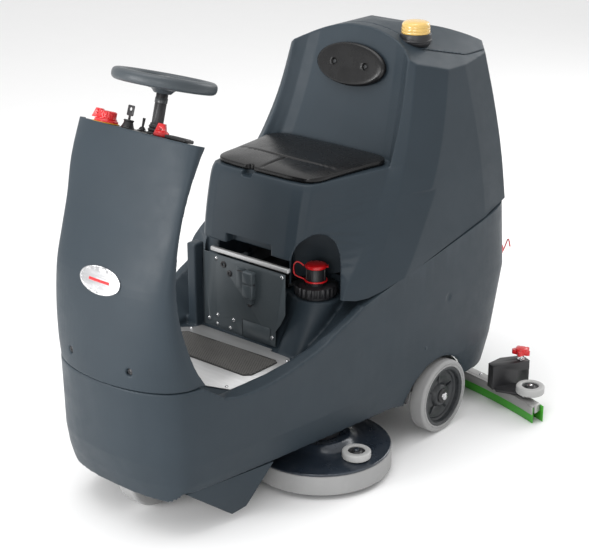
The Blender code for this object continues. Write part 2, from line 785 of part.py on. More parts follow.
def build_controls():
    x, y = ISOLATOR
    node(console_piece(((0.0, 0.0024), (0.0290, 0.0024), (0.0280, 0.011), (0.0, 0.011)), x, y, 24),
         "isolator_base", "red_plastic")
    handle = console_piece(
        ((0.0, 0.0114), (0.0250, 0.0114), (0.0230, 0.020), (0.0, 0.022)), x, y, 24)
    start, normal = on_console(x, y, 0.018)
    grip = rounded_box((-0.031, -0.0075, 0.0), (0.031, 0.0075, 0.016), 0.003, 1)
    grip.data.transform(frame_along(start, normal))
    node(join(handle, grip), "isolator_key", "red_plastic", on_console(x, y, 0.0114)[0])
    x, y = KEY_SWITCH
    start, normal = on_console(x, y, 0.0224)
    key = cylinder(start, start + normal * 0.012, 0.003, 12)
    bow = rounded_box((-0.0105, -0.0025, 0.010), (0.0105, 0.0025, 0.034), 0.0015, 1)
    bow.data.transform(frame_along(start, normal))
    node(join(key, bow), "ignition_key", "black_plastic", start)
    x, y = TOGGLE
    start, normal = on_console(x, y, 0.0060)
    lever = cylinder(start + normal * 0.003, start + normal * 0.027, 0.0028, 12, 0.0036)
    join(lever, console_piece(((0.0, 0.0050), (0.0105, 0.0050), (0.0085, 0.010), (0.0, 0.011)), x, y))
    node(lever, "direction_toggle", "black_plastic", start)
    x, y = SPEED_KNOB
    knob = console_piece(
        ((0.0, 0.0026), (0.0185, 0.0026), (0.0175, 0.012), (0.012, 0.016), (0.0, 0.017)), x, y, 24)
    start, normal = on_console(x, y, 0.012)
    wing = rounded_box((-0.0062, -0.0175, 0.0), (0.0062, 0.0175, 0.020), 0.003, 1)
    wing.data.transform(frame_along(start, normal))
    node(join(knob, wing), "speed_knob", "red_plastic", on_console(x, y, 0.0026)[0])
    x, y = DISPLAY
    start, normal = on_console(x, y, 0.0024)
    block = rounded_box((-0.034, -0.014, 0.0), (0.034, 0.016, 0.0085), 0.002, 1)
    block.data.transform(frame_along(start, normal))
    node(block, "display_block", "black_plastic")


def build_pedal():
    pivot = (-0.105, -0.4445, 0.352)
    pedal = rounded_box((-0.145, -0.4400, 0.346), (-0.065, -0.350, 0.357), 0.003, 1)
    turned(pedal, pivot, (1, 0, 0), math.radians(28))
    node(pedal, "drive_pedal", "black_plastic", (pivot[0], -0.440, 0.352))


# ---- upper tank, seat and lid ----
LOWER_TANK = (
    # height, seat front, corner, wing edge (x, y), crease (x, y), flank, rear
    (0.450, -0.152, 0.176, 0.272, -0.115, 0.290, -0.060, 0.318, 0.642),
    (0.526, -0.152, 0.176, 0.270, -0.070, 0.290, -0.002, 0.318, 0.642),
    (0.600, -0.148, 0.177, 0.255, 0.014, 0.281, 0.062, 0.308, 0.642),
    (0.700, -0.130, 0.177, 0.235, 0.100, 0.262, 0.140, 0.294, 0.642),
    (0.750, -0.116, 0.176, 0.223, 0.140, 0.252, 0.172, 0.285, 0.641),
    (0.765, -0.108, 0.172, 0.219, 0.154, 0.249, 0.181, 0.283, 0.640),
)
UPPER_TANK = (
    # height, backrest, wing edge (x, y), crease (x, y), flank, rear
    (0.700, 0.180, 0.235, 0.100, 0.262, 0.140, 0.294, 0.642),
    (0.770, 0.206, 0.218, 0.158, 0.248, 0.184, 0.282, 0.640),
    (0.880, 0.248, 0.205, 0.217, 0.228, 0.232, 0.264, 0.628),
    (1.000, 0.284, 0.195, 0.253, 0.213, 0.267, 0.246, 0.606),
    (1.100, 0.312, 0.186, 0.278, 0.202, 0.290, 0.236, 0.585),
)
TANK_TOP = (
    (0.100, 1.0700), (0.270, 1.0790), (0.400, 1.0810), (0.444, 1.0710), (0.500, 1.0620),
    (0.560, 1.0380), (0.600, 1.0120), (0.640, 0.9650), (0.665, 0.9000), (0.690, 0.7500),
    (0.700, 0.5000),
)
LID_FRONT = 0.340
LID_SLOPE = -0.2287
LID_SEAM_Z = 1.0345


def tank_tail(flank, rear):
    return [
        (flank, rear - 0.170), (flank - 0.014, rear - 0.050), (flank - 0.052, rear - 0.006),
        (0.62 * flank, rear + 0.018), (0.28 * flank, rear + 0.030), (0.0, rear + 0.032),
    ]


def lower_tank_ring(level):
    z, front, corner, edge_x, edge_y, crease_x, crease_y, flank, rear = level
    half = [
        (0.0, front), (corner - 0.052, front), (corner - 0.022, front + 0.006),
        (corner - 0.006, front + 0.020), (corner, front + 0.045), (edge_x, edge_y),
        (crease_x, crease_y), (flank, crease_y + 0.120),
    ] + tank_tail(flank, rear)
    return mirror_points(half), z


def upper_tank_ring(level):
    z, back, edge_x, edge_y, crease_x, crease_y, flank, rear = level
    half = [
        (0.0, back), (edge_x - 0.060, back - 0.002), (edge_x - 0.030, back - 0.010),
        (edge_x - 0.012, 0.5 * (back + edge_y) - 0.006), (edge_x, edge_y),
        (crease_x, crease_y), (flank, crease_y + 0.100),
    ] + tank_tail(flank, rear)
    return mirror_points(half), z


def tank_loft(levels, ring_of, shrink):
    rings = []
    for level in levels:
        outline, z = ring_of(level)
        if shrink:
            outline = inset(outline, shrink)
        rings.append(at_height(outline, z))
    return loft(rings)


def arch_block(drop):
    """The tank's arched roof in cross section, less a thickness."""
    roof = []
    for k in range(-8, 9):
        x = 0.34 * k / 8
        roof.append((x, 1.082 - drop - 1.55 * x * x + 0.9 * max(0.0, abs(x) - 0.22) ** 2))
    return prism(roof + [(0.34, 0.30), (-0.34, 0.30)], 1, -0.30, 0.75)


def side_block(drop, low):
    """The tank's roof in side view over its lower seam."""
    top = [(y, z - drop) for y, z in TANK_TOP]
    seam = [(0.700, 0.6086), (0.542, 0.5821), (0.296, 0.5391), (0.077, 0.4966),
            (0.000, 0.4776), (-0.035, 0.4680), (-0.150, 0.4680), (-0.165, 0.500)]
    if low:
        seam = [(y, z + low) for y, z in seam]
    return prism(list(reversed(top)) + [(0.10, 0.90), (-0.165, 0.90)] + list(reversed(seam)),
                 0, -0.36, 0.36)


def tank_solid(shrink):
    body = tank_loft(LOWER_TANK, lower_tank_ring, shrink)
    upper = tank_loft(UPPER_TANK, upper_tank_ring, shrink)
    join(body, upper)
    return keep(body, arch_block(shrink), side_block(shrink, shrink))


def lid_region(gap):
    """Everything above the lid's seam, grown towards the tank by the gap."""
    def seam(y):
        return LID_SEAM_Z + LID_SLOPE * (y - LID_FRONT) - gap
    front = LID_FRONT - gap
    return prism(
        ((front, seam(front)), (0.750, seam(0.750)), (0.750, 1.20), (front, 1.20)),
        0, -0.222 - gap, 0.222 + gap,
    )


def filler_arch(grow=0.0):
    """The domed recess in the seat corner, seen as an arch."""
    half = [
        (x + grow, z + grow)
        for x, z in ((0.0625, 0.40), (0.0625, 0.555), (0.058, 0.590), (0.044, 0.618), (0.022, 0.634))
    ]
    points = half + [(0.0, 0.639 + grow)] + [(-x, z) for x, z in reversed(half)]
    cutter = prism(points, 1, -0.200, 0.070 + grow)
    cutter.data.transform(Matrix.Rotation(math.radians(38.5), 4, "Z"))
    cutter.data.transform(Matrix.Translation((FILLER_X, FILLER_Y, 0.0)))
    return cutter


def build_tank():
    """Recovery tank with its seat box and wings, hollow under the seat."""
    tank = tank_solid(0.0)
    cavity = prism(
        ((-0.095, 0.40), (0.600, 0.40), (0.600, 0.880), (0.500, 0.930), (0.335, 0.930),
         (0.226, 0.748), (-0.095, 0.748)), 0, -0.160, 0.160)
    join(cavity, box((-0.224, 0.262, 0.41), (0.224, 0.598, 0.870)))
    join(cavity, box((-0.240, 0.150, 0.42), (0.240, 0.610, 0.640)))
    cut(cavity, filler_arch(0.006))
    opening = box((-0.110, -0.060, 0.700), (0.110, 0.140, 0.800))
    lid_opening = box((-0.140, 0.360, 0.800), (0.140, 0.560, 1.10))
    cut(tank, lid_region(GAP), cavity, opening, lid_opening)
    cut(tank, box((-0.200, -0.300, 0.400), (0.150, -0.085, 0.575)))
    cut(tank, box((-0.074, -0.170, 0.560), (0.079, -0.120, 0.601)), filler_arch())
    cut(tank, box((-0.052, -0.120, 0.752), (-0.018, -0.088, 0.80)))
    node(tank, "recovery_tank", "body_plastic", (0.0, TANK_HINGE_Y, TANK_HINGE_Z))
    lid = keep(tank_solid(0.0), lid_region(0.0))
    underside = keep(tank_solid(0.006), lid_region(-0.006))
    underside.data.transform(Matrix.Translation((0, 0, -0.0065)))
    cut(lid, underside)
    node(lid, "tank_lid", "body_plastic", (0.0, LID_HINGE_Y, LID_HINGE_Z))


def build_seat():
    half = [
        (0.0, -0.0990), (0.110, -0.0960), (0.150, -0.086), (0.166, -0.062), (0.172, 0.000),
        (0.180, 0.130), (0.181, 0.160), (0.172, 0.180), (0.150, 0.194), (0.0, 0.197),
    ]
    outline = mirror_points(half)
    rings = [
        at_height(inset(outline, 0.002), 0.7656),
        at_height(outline, 0.7700),
        at_height(outline, 0.7780),
        at_height(inset(outline, 0.010), 0.7860),
        at_height(inset(outline, 0.030), 0.7880),
    ]
    seat = loft(rings)
    cut(seat, box((-0.002, -0.120, 0.7845), (0.002, -0.010, 0.80)))
    cut(seat, box((-0.048, -0.120, 0.760), (-0.022, -0.088, 0.80)))
    node(seat, "seat_lid", "seat_vinyl", (0.0, SEAT_HINGE_Y, 0.7715))
    tilt = math.atan2(0.284 - 0.248, 0.120)
    pad_outline = [
        (0.114 * math.cos(a), 0.057 * math.sin(a))
        for a in [2 * math.pi * k / 32 for k in range(32)]
    ]
    pad = loft([
        at_height(pad_outline, 0.0006),
        at_height(pad_outline, 0.0100),
        at_height(inset(pad_outline, 0.006), 0.0150),
    ])
    for x in (-0.052, 0.052):
        cut(pad, cylinder((x, 0.0, 0.010), (x, 0.0, 0.020), 0.008, 16))
    pad.data.transform(Matrix.Rotation(math.pi / 2 - tilt, 4, "X"))
    pad.data.transform(Matrix.Translation((0.0, 0.2735, 0.980)))
    node(pad, "backrest_pad", "seat_vinyl")


def build_beacon():
    """Warning light on the tank's shoulder: base with collar, and a lens."""
    x, y = BEACON
    base = lathe(((0.0, 0.985), (0.026, 0.985), (0.030, 1.030), (0.0405, 1.045), (0.0415, 1.049),
                  (0.0415, 1.0705), (0.0, 1.0705)), (x, y, 0), (0, 0, 1), 28)
    below = keep(tank_solid(0.0), box((-0.4, 0.0, 0.5), (0.4, 0.9, 1.2)))
    below.data.transform(Matrix.Translation((0.0, 0.0, GAP)))
    cut(base, below)
    node(base, "beacon_base", "black_plastic")
    lens = lathe(((0.0, 1.0710), (0.0380, 1.0710), (0.0380, 1.0910), (0.0330, 1.1000), (0.0, 1.1030)),
                 (x, y, 0), (0, 0, 1), 28)
    node(lens, "beacon_lens", "amber_lens")


def build_deck():
    """Brush deck: cover, lip, two motors, two brushes and bumper rollers."""
    cover = box((-0.200, BRUSH_Y - 0.120, 0.0690), (0.200, BRUSH_Y + 0.120, 0.0735))
    join(cover, box((-0.150, BRUSH_Y - 0.030, 0.0700), (0.150, BRUSH_Y + 0.030, 0.0960)))
    for side in (-1, 1):
        dome = ((0.0, 0.066), (0.186, 0.066), (0.186, 0.0700), (0.168, 0.0745), (0.092, 0.0755),
                (0.080, 0.0985), (0.0, 0.0985))
        join(cover, lathe(dome, (side * BRUSH_X, BRUSH_Y, 0.0), (0, 0, 1), 28))
        join(cover, cylinder((side * DECK_ROLLER_X, DECK_ROLLER_Y, 0.0700),
                             (side * DECK_ROLLER_X, DECK_ROLLER_Y, 0.1000), 0.0060, 12))
    for side in (-1, 1):
        inner = ((0.0, 0.050), (0.178, 0.050), (0.178, 0.0665), (0.074, 0.0690), (0.070, 0.0920),
                 (0.0, 0.0920))
        cut(cover, lathe(inner, (side * BRUSH_X, BRUSH_Y, 0.0), (0, 0, 1), 24))
        cut(cover, cylinder((side * BRUSH_X, BRUSH_Y, 0.06), (side * BRUSH_X, BRUSH_Y, 0.12),
                            0.0250, 20))
        low, high = sorted((side * 0.030, side * 0.042))
        join(cover, box((low, -0.125, 0.092), (high, -0.075, 0.135)))
    cut(cover, cylinder((-0.06, -0.100, 0.122), (0.06, -0.100, 0.122), 0.0065, 16))
    node(cover, "deck_cover", "deck_paint")
    skirt = None
    for side in (-1, 1):
        lip = lathe(((0.150, 0.012), (SKIRT_RADIUS, 0.012), (SKIRT_RADIUS, 0.0655),
                     (0.150, 0.0655)), (side * BRUSH_X, BRUSH_Y, 0.0), (0, 0, 1), 40)
        skirt = join(skirt, lip) if skirt else lip
    for side in (-1, 1):
        cut(skirt, cylinder((side * BRUSH_X, BRUSH_Y, 0.0), (side * BRUSH_X, BRUSH_Y, 0.08),
                            0.1795, 40))
    join(skirt, box((-0.016, BRUSH_Y - 0.010, 0.030), (0.016, BRUSH_Y + 0.010, 0.0655)))
    node(skirt, "deck_skirt", "grey_rubber")
    for side, name in ((-1, "right"), (1, "left")):
        x = side * BRUSH_X
        motor = lathe(((0.0, 0.0990), (0.052, 0.0990), (0.052, 0.190), (0.040, 0.205),
                       (0.0, 0.205)), (x, BRUSH_Y, 0), (0, 0, 1), 24)
        join(motor, cylinder((x, BRUSH_Y, 0.078), (x, BRUSH_Y, 0.100), 0.012, 16))
        node(motor, "brush_motor_" + name, "black_plastic")
        block = lathe(((0.0, 0.0555), (0.155, 0.0555), (0.155, 0.040), (0.168, 0.000),
                       (0.100, 0.000), (0.092, 0.040), (0.0, 0.044)), (x, BRUSH_Y, 0), (0, 0, 1), 24)
        join(block, cylinder((x, BRUSH_Y, 0.050), (x, BRUSH_Y, 0.0775), 0.020, 20))
        node(block, "brush_" + name, "bristle", (x, BRUSH_Y, 0.040))
        centre = (side * DECK_ROLLER_X, DECK_ROLLER_Y, DECK_ROLLER_Z)
        build_roller(centre, DECK_ROLLER_RADIUS, 0.0200, "deck_roller", name, 0.0065)


def build_roller(centre, radius, thick, label, name, bore):
    """A horizontal bumper roller with a domed hub, turning on a fixed pin."""
    half = thick / 2
    profile = (
        (bore, -half), (radius - 0.003, -half), (radius, -half + 0.004), (radius, half - 0.004),
        (radius - 0.003, half), (radius - 0.013, half), (radius - 0.015, half - 0.0025),
        (bore, half - 0.0025),
    )
    roller = lathe(profile, centre, (0, 0, 1), 20)
    node(roller, f"{label}_{name}", "white_nylon", centre)


def build_deck_arms():
    arms = box((-0.0275, -0.262, 0.180), (0.0275, -0.248, 0.190))
    for side in (-1, 1):
        low, high = sorted((side * 0.0195, side * 0.0275))
        arm = prism(((-0.263, 0.176), (-0.263, 0.194), (-0.247, 0.194), (-0.092, 0.131),
                     (-0.092, 0.113), (-0.108, 0.113)), 0, low, high)
        join(arms, arm)
    join(arms, cylinder((-0.0515, -0.255, 0.185), (0.0515, -0.255, 0.185), 0.0058, 16))
    join(arms, cylinder((-0.0420, -0.100, 0.122), (0.0420, -0.100, 0.122), 0.0058, 16))
    node(arms, "deck_lift_arms", "frame_paint", (0.0, -0.255, 0.185))


# ---- squeegee ----
def blade_curve(x, ahead=0.0):
    """Depth of the squeegee bar at a distance from the centre plane."""
    return 0.588 - 0.098 * (abs(x) / SQUEEGEE_SPAN) ** 2 - ahead


def swept_bar(low_z, high_z, front, back, span, steps=8):
    """A curved bar of constant section that follows the squeegee's sweep."""
    sections = []
    for k in range(-steps, steps + 1):
        x = span * k / steps
        y = blade_curve(x)
        sections.append([(x, y - front, low_z), (x, y + back, low_z),
                         (x, y + back, high_z), (x, y - front, high_z)])
    return loft(sections)


def build_squeegee():
    body = swept_bar(0.030, 0.052, 0.014, 0.012, 0.500)
    for side in (-1, 1):
        tip = side * 0.500
        low, high = sorted((tip - side * 0.010, tip))
        join(body, box((low, blade_curve(tip) - 0.0125, 0.030), (high, blade_curve(tip) + 0.008, 0.060)))
        bracket = prism(
            ((0.322, 0.502), (0.352, 0.488), (0.404, 0.600), (0.366, 0.618), (0.326, 0.560)),
            2, 0.1130, 0.1240,
        )
        rib = prism(((0.326, 0.520), (0.344, 0.510), (0.386, 0.600), (0.362, 0.612)), 2, 0.048, 0.114)
        arm = prism(((0.350, 0.496), (0.362, 0.478), (0.452, 0.520), (0.460, 0.534), (0.449, 0.545),
                     (0.438, 0.542)), 2, 0.1130, 0.1240)
        join(bracket, rib, arm)
        x, y = SQUEEGEE_ROLLER_X, SQUEEGEE_ROLLER_Y
        join(bracket, cylinder((x, y, 0.060), (x, y, 0.114), 0.0060, 16))
        x, y = SQUEEGEE_KNOB
        cut(bracket, cylinder((x, y, 0.060), (x, y, 0.130), 0.0052, 16))
        if side < 0:
            bracket = mirrored_in_place(bracket)
        join(body, bracket)
    plate = prism(((-0.060, 0.452), (0.060, 0.452), (0.090, 0.590), (-0.090, 0.590)), 2, 0.0505, 0.0590)
    join(body, plate)
    join(body, box((-0.020, 0.452, 0.055), (0.020, 0.482, 0.115)))
    cut(body, cylinder((0.0, 0.467, 0.02), (0.0, 0.467, 0.16), 0.0085, 20))
    cut(body, cylinder((0.0, 0.588, 0.0), (0.0, 0.588, 0.10), 0.0108, 20))
    cut(body, cylinder((0.0, 0.588, 0.0525), (0.0, 0.588, 0.10), 0.0195, 20))
    node(body, "squeegee_body", "black_plastic", (0.0, 0.467, 0.110))
    blade = swept_bar(0.0, 0.0475, 0.0, 0.0035, SQUEEGEE_SPAN)
    blade.data.transform(Matrix.Translation((0.0, 0.0128, 0.0)))
    node(blade, "rear_blade", "green_rubber", (0.0, 0.467, 0.110))
    front = swept_bar(0.0, 0.0475, 0.0035, 0.0, 0.496)
    front.data.transform(Matrix.Translation((0.0, -0.0162, 0.0)))
    node(front, "front_blade", "green_rubber", (0.0, 0.467, 0.110))
    nozzle = cylinder((0.0, 0.588, 0.040), (0.0, 0.588, 0.060), 0.0104, 20)
    join(nozzle, cylinder((0.0, 0.588, 0.0530), (0.0, 0.588, 0.078), 0.0180, 20))
    join(nozzle, cylinder((0.0, 0.588, 0.072), (0.0, 0.648, 0.112), 0.0172, 20))
    join(nozzle, cylinder((0.0, 0.640, 0.107), (0.0, 0.6742, 0.130), 0.0160, 20))
    cut(nozzle, cylinder((0.0, 0.588, 0.072), (0.0, 0.693, 0.142), 0.0120, 16))
    cut(nozzle, cylinder((0.0, 0.588, 0.010), (0.0, 0.588, 0.074), 0.0070, 16))
    node(nozzle, "suction_nozzle", "black_plastic", (0.0, 0.467, 0.110))
    for side, name in ((-1, "right"), (1, "left")):
        x, y = side * SQUEEGEE_KNOB[0], SQUEEGEE_KNOB[1]
        stem = cylinder((x, y, 0.100), (x, y, 0.146), 0.0048, 16)
        points = []
        for k in range(20):
            angle = 2 * math.pi * k / 20
            radius = 0.0225 + 0.0045 * math.cos(5 * angle)
            points.append((x + radius * math.cos(angle), y + radius * math.sin(angle)))
        join(stem, prism(points, 2, 0.142, 0.160))
        node(stem, "squeegee_knob_" + name, "red_plastic", (x, y, 0.125))
        centre = (side * SQUEEGEE_ROLLER_X, SQUEEGEE_ROLLER_Y, 0.0725)
        build_roller(centre, 0.0400, 0.0220, "squeegee_roller", name, 0.0064)


def mirrored_in_place(obj):
    twin = mirrored(obj)
    bpy.data.objects.remove(obj, do_unlink=True)
    return twin


def build_squeegee_arm():
    y, z = SQUEEGEE_PIVOT_Y, SQUEEGEE_ARM_Z
    arm = box((-0.090, y - 0.010, z - 0.010), (0.090, y + 0.010, z + 0.010))
    join(arm, box((-0.018, y, z - 0.030), (0.018, y + 0.010, z + 0.008)))
    join(arm, box((-0.018, y, z - 0.034), (0.018, 0.488, z - 0.024)))
    join(arm, cylinder((-0.104, y, z), (0.104, y, z), 0.0060, 16))
    join(arm, cylinder((0.0, 0.467, 0.062), (0.0, 0.467, 0.136), 0.0080, 20))
    cut(arm, box((-0.3, 0.40, 0.0), (0.3, 0.60, 0.060)))
    node(arm, "squeegee_arm", "frame_paint", (0.0, y, z))


def build_fittings():
    """Solution filler with its cap and strap, and the rear drain cap."""
    x, y = FILLER_X, FILLER_Y
    neck = lathe(((0.0205, 0.330), (0.0400, 0.330), (0.0400, 0.4560), (0.0500, 0.4560),
                  (0.0500, 0.4640), (0.0260, 0.4640), (0.0245, 0.5300), (0.0205, 0.5300)),
                 (x, y, 0), (0, 0, 1), 24)
    points = []
    for k in range(36):
        angle = 2 * math.pi * k / 36
        radius = 0.0560 if k % 2 else 0.0535
        points.append((x + radius * math.cos(angle), y + radius * math.sin(angle)))
    ring = prism(points, 2, 0.4625, 0.4860)
    cut(ring, cylinder((x, y, 0.45), (x, y, 0.50), 0.0235, 24))
    node(join(neck, ring), "filler_neck", "black_plastic")
    cap = lathe(((0.0, 0.5305), (0.0280, 0.5305), (0.0280, 0.5365), (0.0235, 0.5405), (0.0, 0.5415)),
                (x, y, 0), (0, 0, 1), 24)
    join(cap, cylinder((x, y, 0.515), (x, y, 0.535), 0.0190, 20))
    node(cap, "filler_cap", "red_plastic", (x, y, 0.5305))
    strap = lathe(((0.0262, 0.4945), (0.0304, 0.4945), (0.0304, 0.4995), (0.0262, 0.4995)),
                  (x, y, 0), (0, 0, 1), 24)
    left = Vector((-math.cos(math.radians(40)), -math.sin(math.radians(40)), 0.0))
    loop = []
    for out, z in ((0.0285, 0.497), (0.040, 0.502), (0.054, 0.510), (0.0575, 0.524),
                   (0.056, 0.538), (0.049, 0.545), (0.040, 0.542), (0.0305, 0.5345)):
        loop.append(Vector((x, y, z)) + left * out)
    join(strap, tube(loop, 0.0019, 8))
    node(strap, "filler_strap", "red_plastic")
    rear = (REAR_PORT[0], 0.6568, REAR_PORT[1])
    cap = lathe(((0.0, 0.0), (0.0200, 0.0), (0.0185, 0.0085), (0.0, 0.0100)),
                rear, (0, 1, 0), 20)
    loop = []
    for k in range(9):
        angle = math.radians(-70 + 220 * k / 8)
        loop.append((0.236 + 0.006 * k, 0.661 + 0.012 * math.cos(angle), 0.410 + 0.034 * math.sin(angle)))
    join(cap, tube([(0.235, 0.6610, 0.398)] + loop, 0.0019, 8))
    node(cap, "rear_cap", "red_plastic", rear)


clear_scene()
build_base()
build_side_guards()
build_cowl()
build_column_cover()
build_console()
build_badge()
build_platform()
build_access_panel()
build_chassis()
build_batteries()
build_rear_wheels()
build_front_drive()
build_steering()
build_controls()
build_pedal()
build_tank()
build_seat()
build_beacon()
build_deck()
build_deck_arms()
build_squeegee()
build_squeegee_arm()
build_fittings()
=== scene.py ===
"""Looks for the ride-on scrubber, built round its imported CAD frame."""

import json
import math
import random

import bmesh
import bpy
import numpy as np
from mathutils import Matrix, Vector

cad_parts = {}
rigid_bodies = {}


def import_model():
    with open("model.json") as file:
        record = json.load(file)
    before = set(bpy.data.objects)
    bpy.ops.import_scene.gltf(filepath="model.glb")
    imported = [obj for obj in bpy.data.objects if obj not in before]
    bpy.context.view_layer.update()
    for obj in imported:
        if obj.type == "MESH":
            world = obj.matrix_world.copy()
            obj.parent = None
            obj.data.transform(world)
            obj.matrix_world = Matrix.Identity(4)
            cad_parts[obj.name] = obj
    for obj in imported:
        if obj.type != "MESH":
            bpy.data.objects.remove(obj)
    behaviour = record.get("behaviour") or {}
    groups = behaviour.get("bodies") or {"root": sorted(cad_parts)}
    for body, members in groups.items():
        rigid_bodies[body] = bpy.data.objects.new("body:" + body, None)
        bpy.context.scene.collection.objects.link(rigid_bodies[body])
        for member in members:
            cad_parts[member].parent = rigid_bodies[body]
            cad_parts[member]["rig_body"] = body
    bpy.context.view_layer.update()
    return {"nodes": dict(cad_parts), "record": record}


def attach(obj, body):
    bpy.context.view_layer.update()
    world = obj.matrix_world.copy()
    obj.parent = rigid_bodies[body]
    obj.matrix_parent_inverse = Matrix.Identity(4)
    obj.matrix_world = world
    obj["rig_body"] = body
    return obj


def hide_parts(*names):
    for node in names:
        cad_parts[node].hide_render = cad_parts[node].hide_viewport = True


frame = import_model()
RANDOM = random.Random(7)

# ---- dimensions of the machine, in metres, as the CAD has them ----
WALL = 0.007
GAP = 0.0004
PLATE_Z = 0.3275
REAR_WHEEL = (0.307, 0.283, 0.103)
FRONT_WHEEL = (0.0, -0.509, 0.100)
STEER_CENTRE = Vector((0.0, -0.426, 1.067))
COLUMN_AXIS = Vector((0.0, math.sin(math.radians(16)), math.cos(math.radians(16))))
STEER_RADIUS = 0.1245
CONSOLE_SLOPE = 0.34
BRUSH = (0.201, -0.095)
TUFT_ROWS = 6
TUFT_PITCH = 0.0105
DECK_ROLLER = (0.334, -0.110, 0.0864)
SQUEEGEE_ROLLER = (0.449, 0.533, 0.0725)
SQUEEGEE_KNOB = (0.379, 0.590)
SQUEEGEE_SPAN = 0.512
FILLER = (0.142, -0.045)
BEACON = (0.140, 0.362)
PANEL_FACE_Y = -0.1509
ISOLATOR = (-0.120, -0.506)
IGNITION = (-0.064, -0.490)
TOGGLE = (-0.041, -0.466)
SPEED_KNOB = (0.047, -0.490)
SCALE_TICKS = 11
PEDAL_PIVOT = (-0.105, -0.4445, 0.352)
PEDAL_TILT = math.radians(28)
WHEEL_ARCH = (0.272, 0.083)
SIDE_PLUGS = ((0.300, 0.387), (0.408, 0.261), (0.210, 0.267))
COWL_SCREWS = (-0.10, 0.10)
BADGE = (0.067, 0.032, 0.639)
SIDES = ((1, "left"), (-1, "right"))
LEFT_TO_RIGHT = Matrix.Diagonal((-1.0, 1.0, 1.0, 1.0))
CREASE = math.radians(40)


# ---- procedural materials ----
def add_node(tree, kind, **inputs):
    """A shader node with these constants on its sockets; an underscore stands for a space."""
    made = tree.nodes.new(kind)
    for key, value in inputs.items():
        made.inputs[key.replace("_", " ")].default_value = value
    return made


def noise(tree, place, scale, detail, roughness):
    """Values of a noise texture at a place."""
    made = add_node(tree, "ShaderNodeTexNoise", Scale=scale, Detail=detail, Roughness=roughness)
    tree.links.new(place, made.inputs["Vector"])
    return made.outputs["Fac"]


def ranged(tree, value, low, high, to_low, to_high):
    """Maps a value from low..high to to_low..to_high."""
    made = add_node(tree, "ShaderNodeMapRange", From_Min=low, From_Max=high, To_Min=to_low,
                    To_Max=to_high)
    tree.links.new(value, made.inputs["Value"])
    return made.outputs["Result"]


def tinted(tree, factor, under, over):
    """Covers the colour under with the plain colour over, as far as factor says."""
    made = tree.nodes.new("ShaderNodeMix")
    made.data_type = "RGBA"
    made.inputs["B"].default_value = (*over, 1.0)
    tree.links.new(factor, made.inputs["Factor"])
    tree.links.new(under, made.inputs["A"])
    return made.outputs["Result"]


def relief_normal(tree, place, grain, pitch, leather):
    """The normal of a fine grain: cells for leather, noise for a moulded surface."""
    if leather:
        relief = add_node(tree, "ShaderNodeTexVoronoi", Scale=pitch)
        relief.feature = "DISTANCE_TO_EDGE"
        tree.links.new(place, relief.inputs["Vector"])
        height = relief.outputs["Distance"]
    else:
        height = noise(tree, place, pitch, 3.0, 0.6)
    bump = add_node(tree, "ShaderNodeBump", Strength=grain, Distance=0.0006)
    tree.links.new(height, bump.inputs["Height"])
    return bump.outputs["Normal"]


def material(name, colour, roughness, metallic=0.0, grain=0.0, pitch=900.0, mottle=0.12,
             edge_highlight=0.0, leather=False, stretch=(1.0, 1.0, 1.0), coat=0.0, transmission=0.0,
             dust=0.0, reflect=0.5):
    """A shader whose colour, gloss and fine relief all vary over the surface."""
    made = bpy.data.materials.new(name)
    made.use_nodes = True
    tree = made.node_tree
    link = tree.links.new
    shader = tree.nodes["Principled BSDF"]
    constants = {"Metallic": metallic, "Specular IOR Level": reflect, "Coat Weight": coat,
                 "Coat Roughness": 0.15, "Transmission Weight": transmission}
    for socket, value in constants.items():
        shader.inputs[socket].default_value = value
    mapping = add_node(tree, "ShaderNodeMapping", Scale=stretch)
    link(tree.nodes.new("ShaderNodeTexCoord").outputs["Object"], mapping.inputs["Vector"])
    place = mapping.outputs["Vector"]
    tint = tree.nodes.new("ShaderNodeMix")
    tint.data_type = "RGBA"
    tint.blend_type = "MULTIPLY"
    tint.inputs["Factor"].default_value = 1.0
    tint.inputs["A"].default_value = (*colour, 1.0)
    shade = ranged(tree, noise(tree, place, 7.0, 5.0, 0.6), 0.3, 0.7, 1.0 - mottle, 1.0 + mottle)
    link(shade, tint.inputs["B"])
    colour_out = tint.outputs["Result"]
    # Painted highlight: convex edges, found by pointiness, are tinted paler to stand in for the sheen that
    # light puts along rounded edges.
    if edge_highlight:
        edges = tree.nodes.new("ShaderNodeNewGeometry").outputs["Pointiness"]
        highlight_colour = [min(1.0, 1.9 * c + 0.03) for c in colour]
        colour_out = tinted(tree, ranged(tree, edges, 0.52, 0.62, 0.0, edge_highlight), colour_out, highlight_colour)
    if dust:
        patches = noise(tree, place, 34.0, 8.0, 0.7)
        amount = ranged(tree, patches, 0.5, 0.75, 0.0, dust)
        colour_out = tinted(tree, amount, colour_out, (0.34, 0.33, 0.31))
    link(colour_out, shader.inputs["Base Color"])
    smears = noise(tree, place, 22.0, 6.0, 0.65)
    smooth_end, rough_end = max(0.03, roughness - 0.06), min(1.0, roughness + 0.07)
    link(ranged(tree, smears, 0.3, 0.7, smooth_end, rough_end), shader.inputs["Roughness"])
    if grain:
        link(relief_normal(tree, place, grain, pitch, leather), shader.inputs["Normal"])
    return made
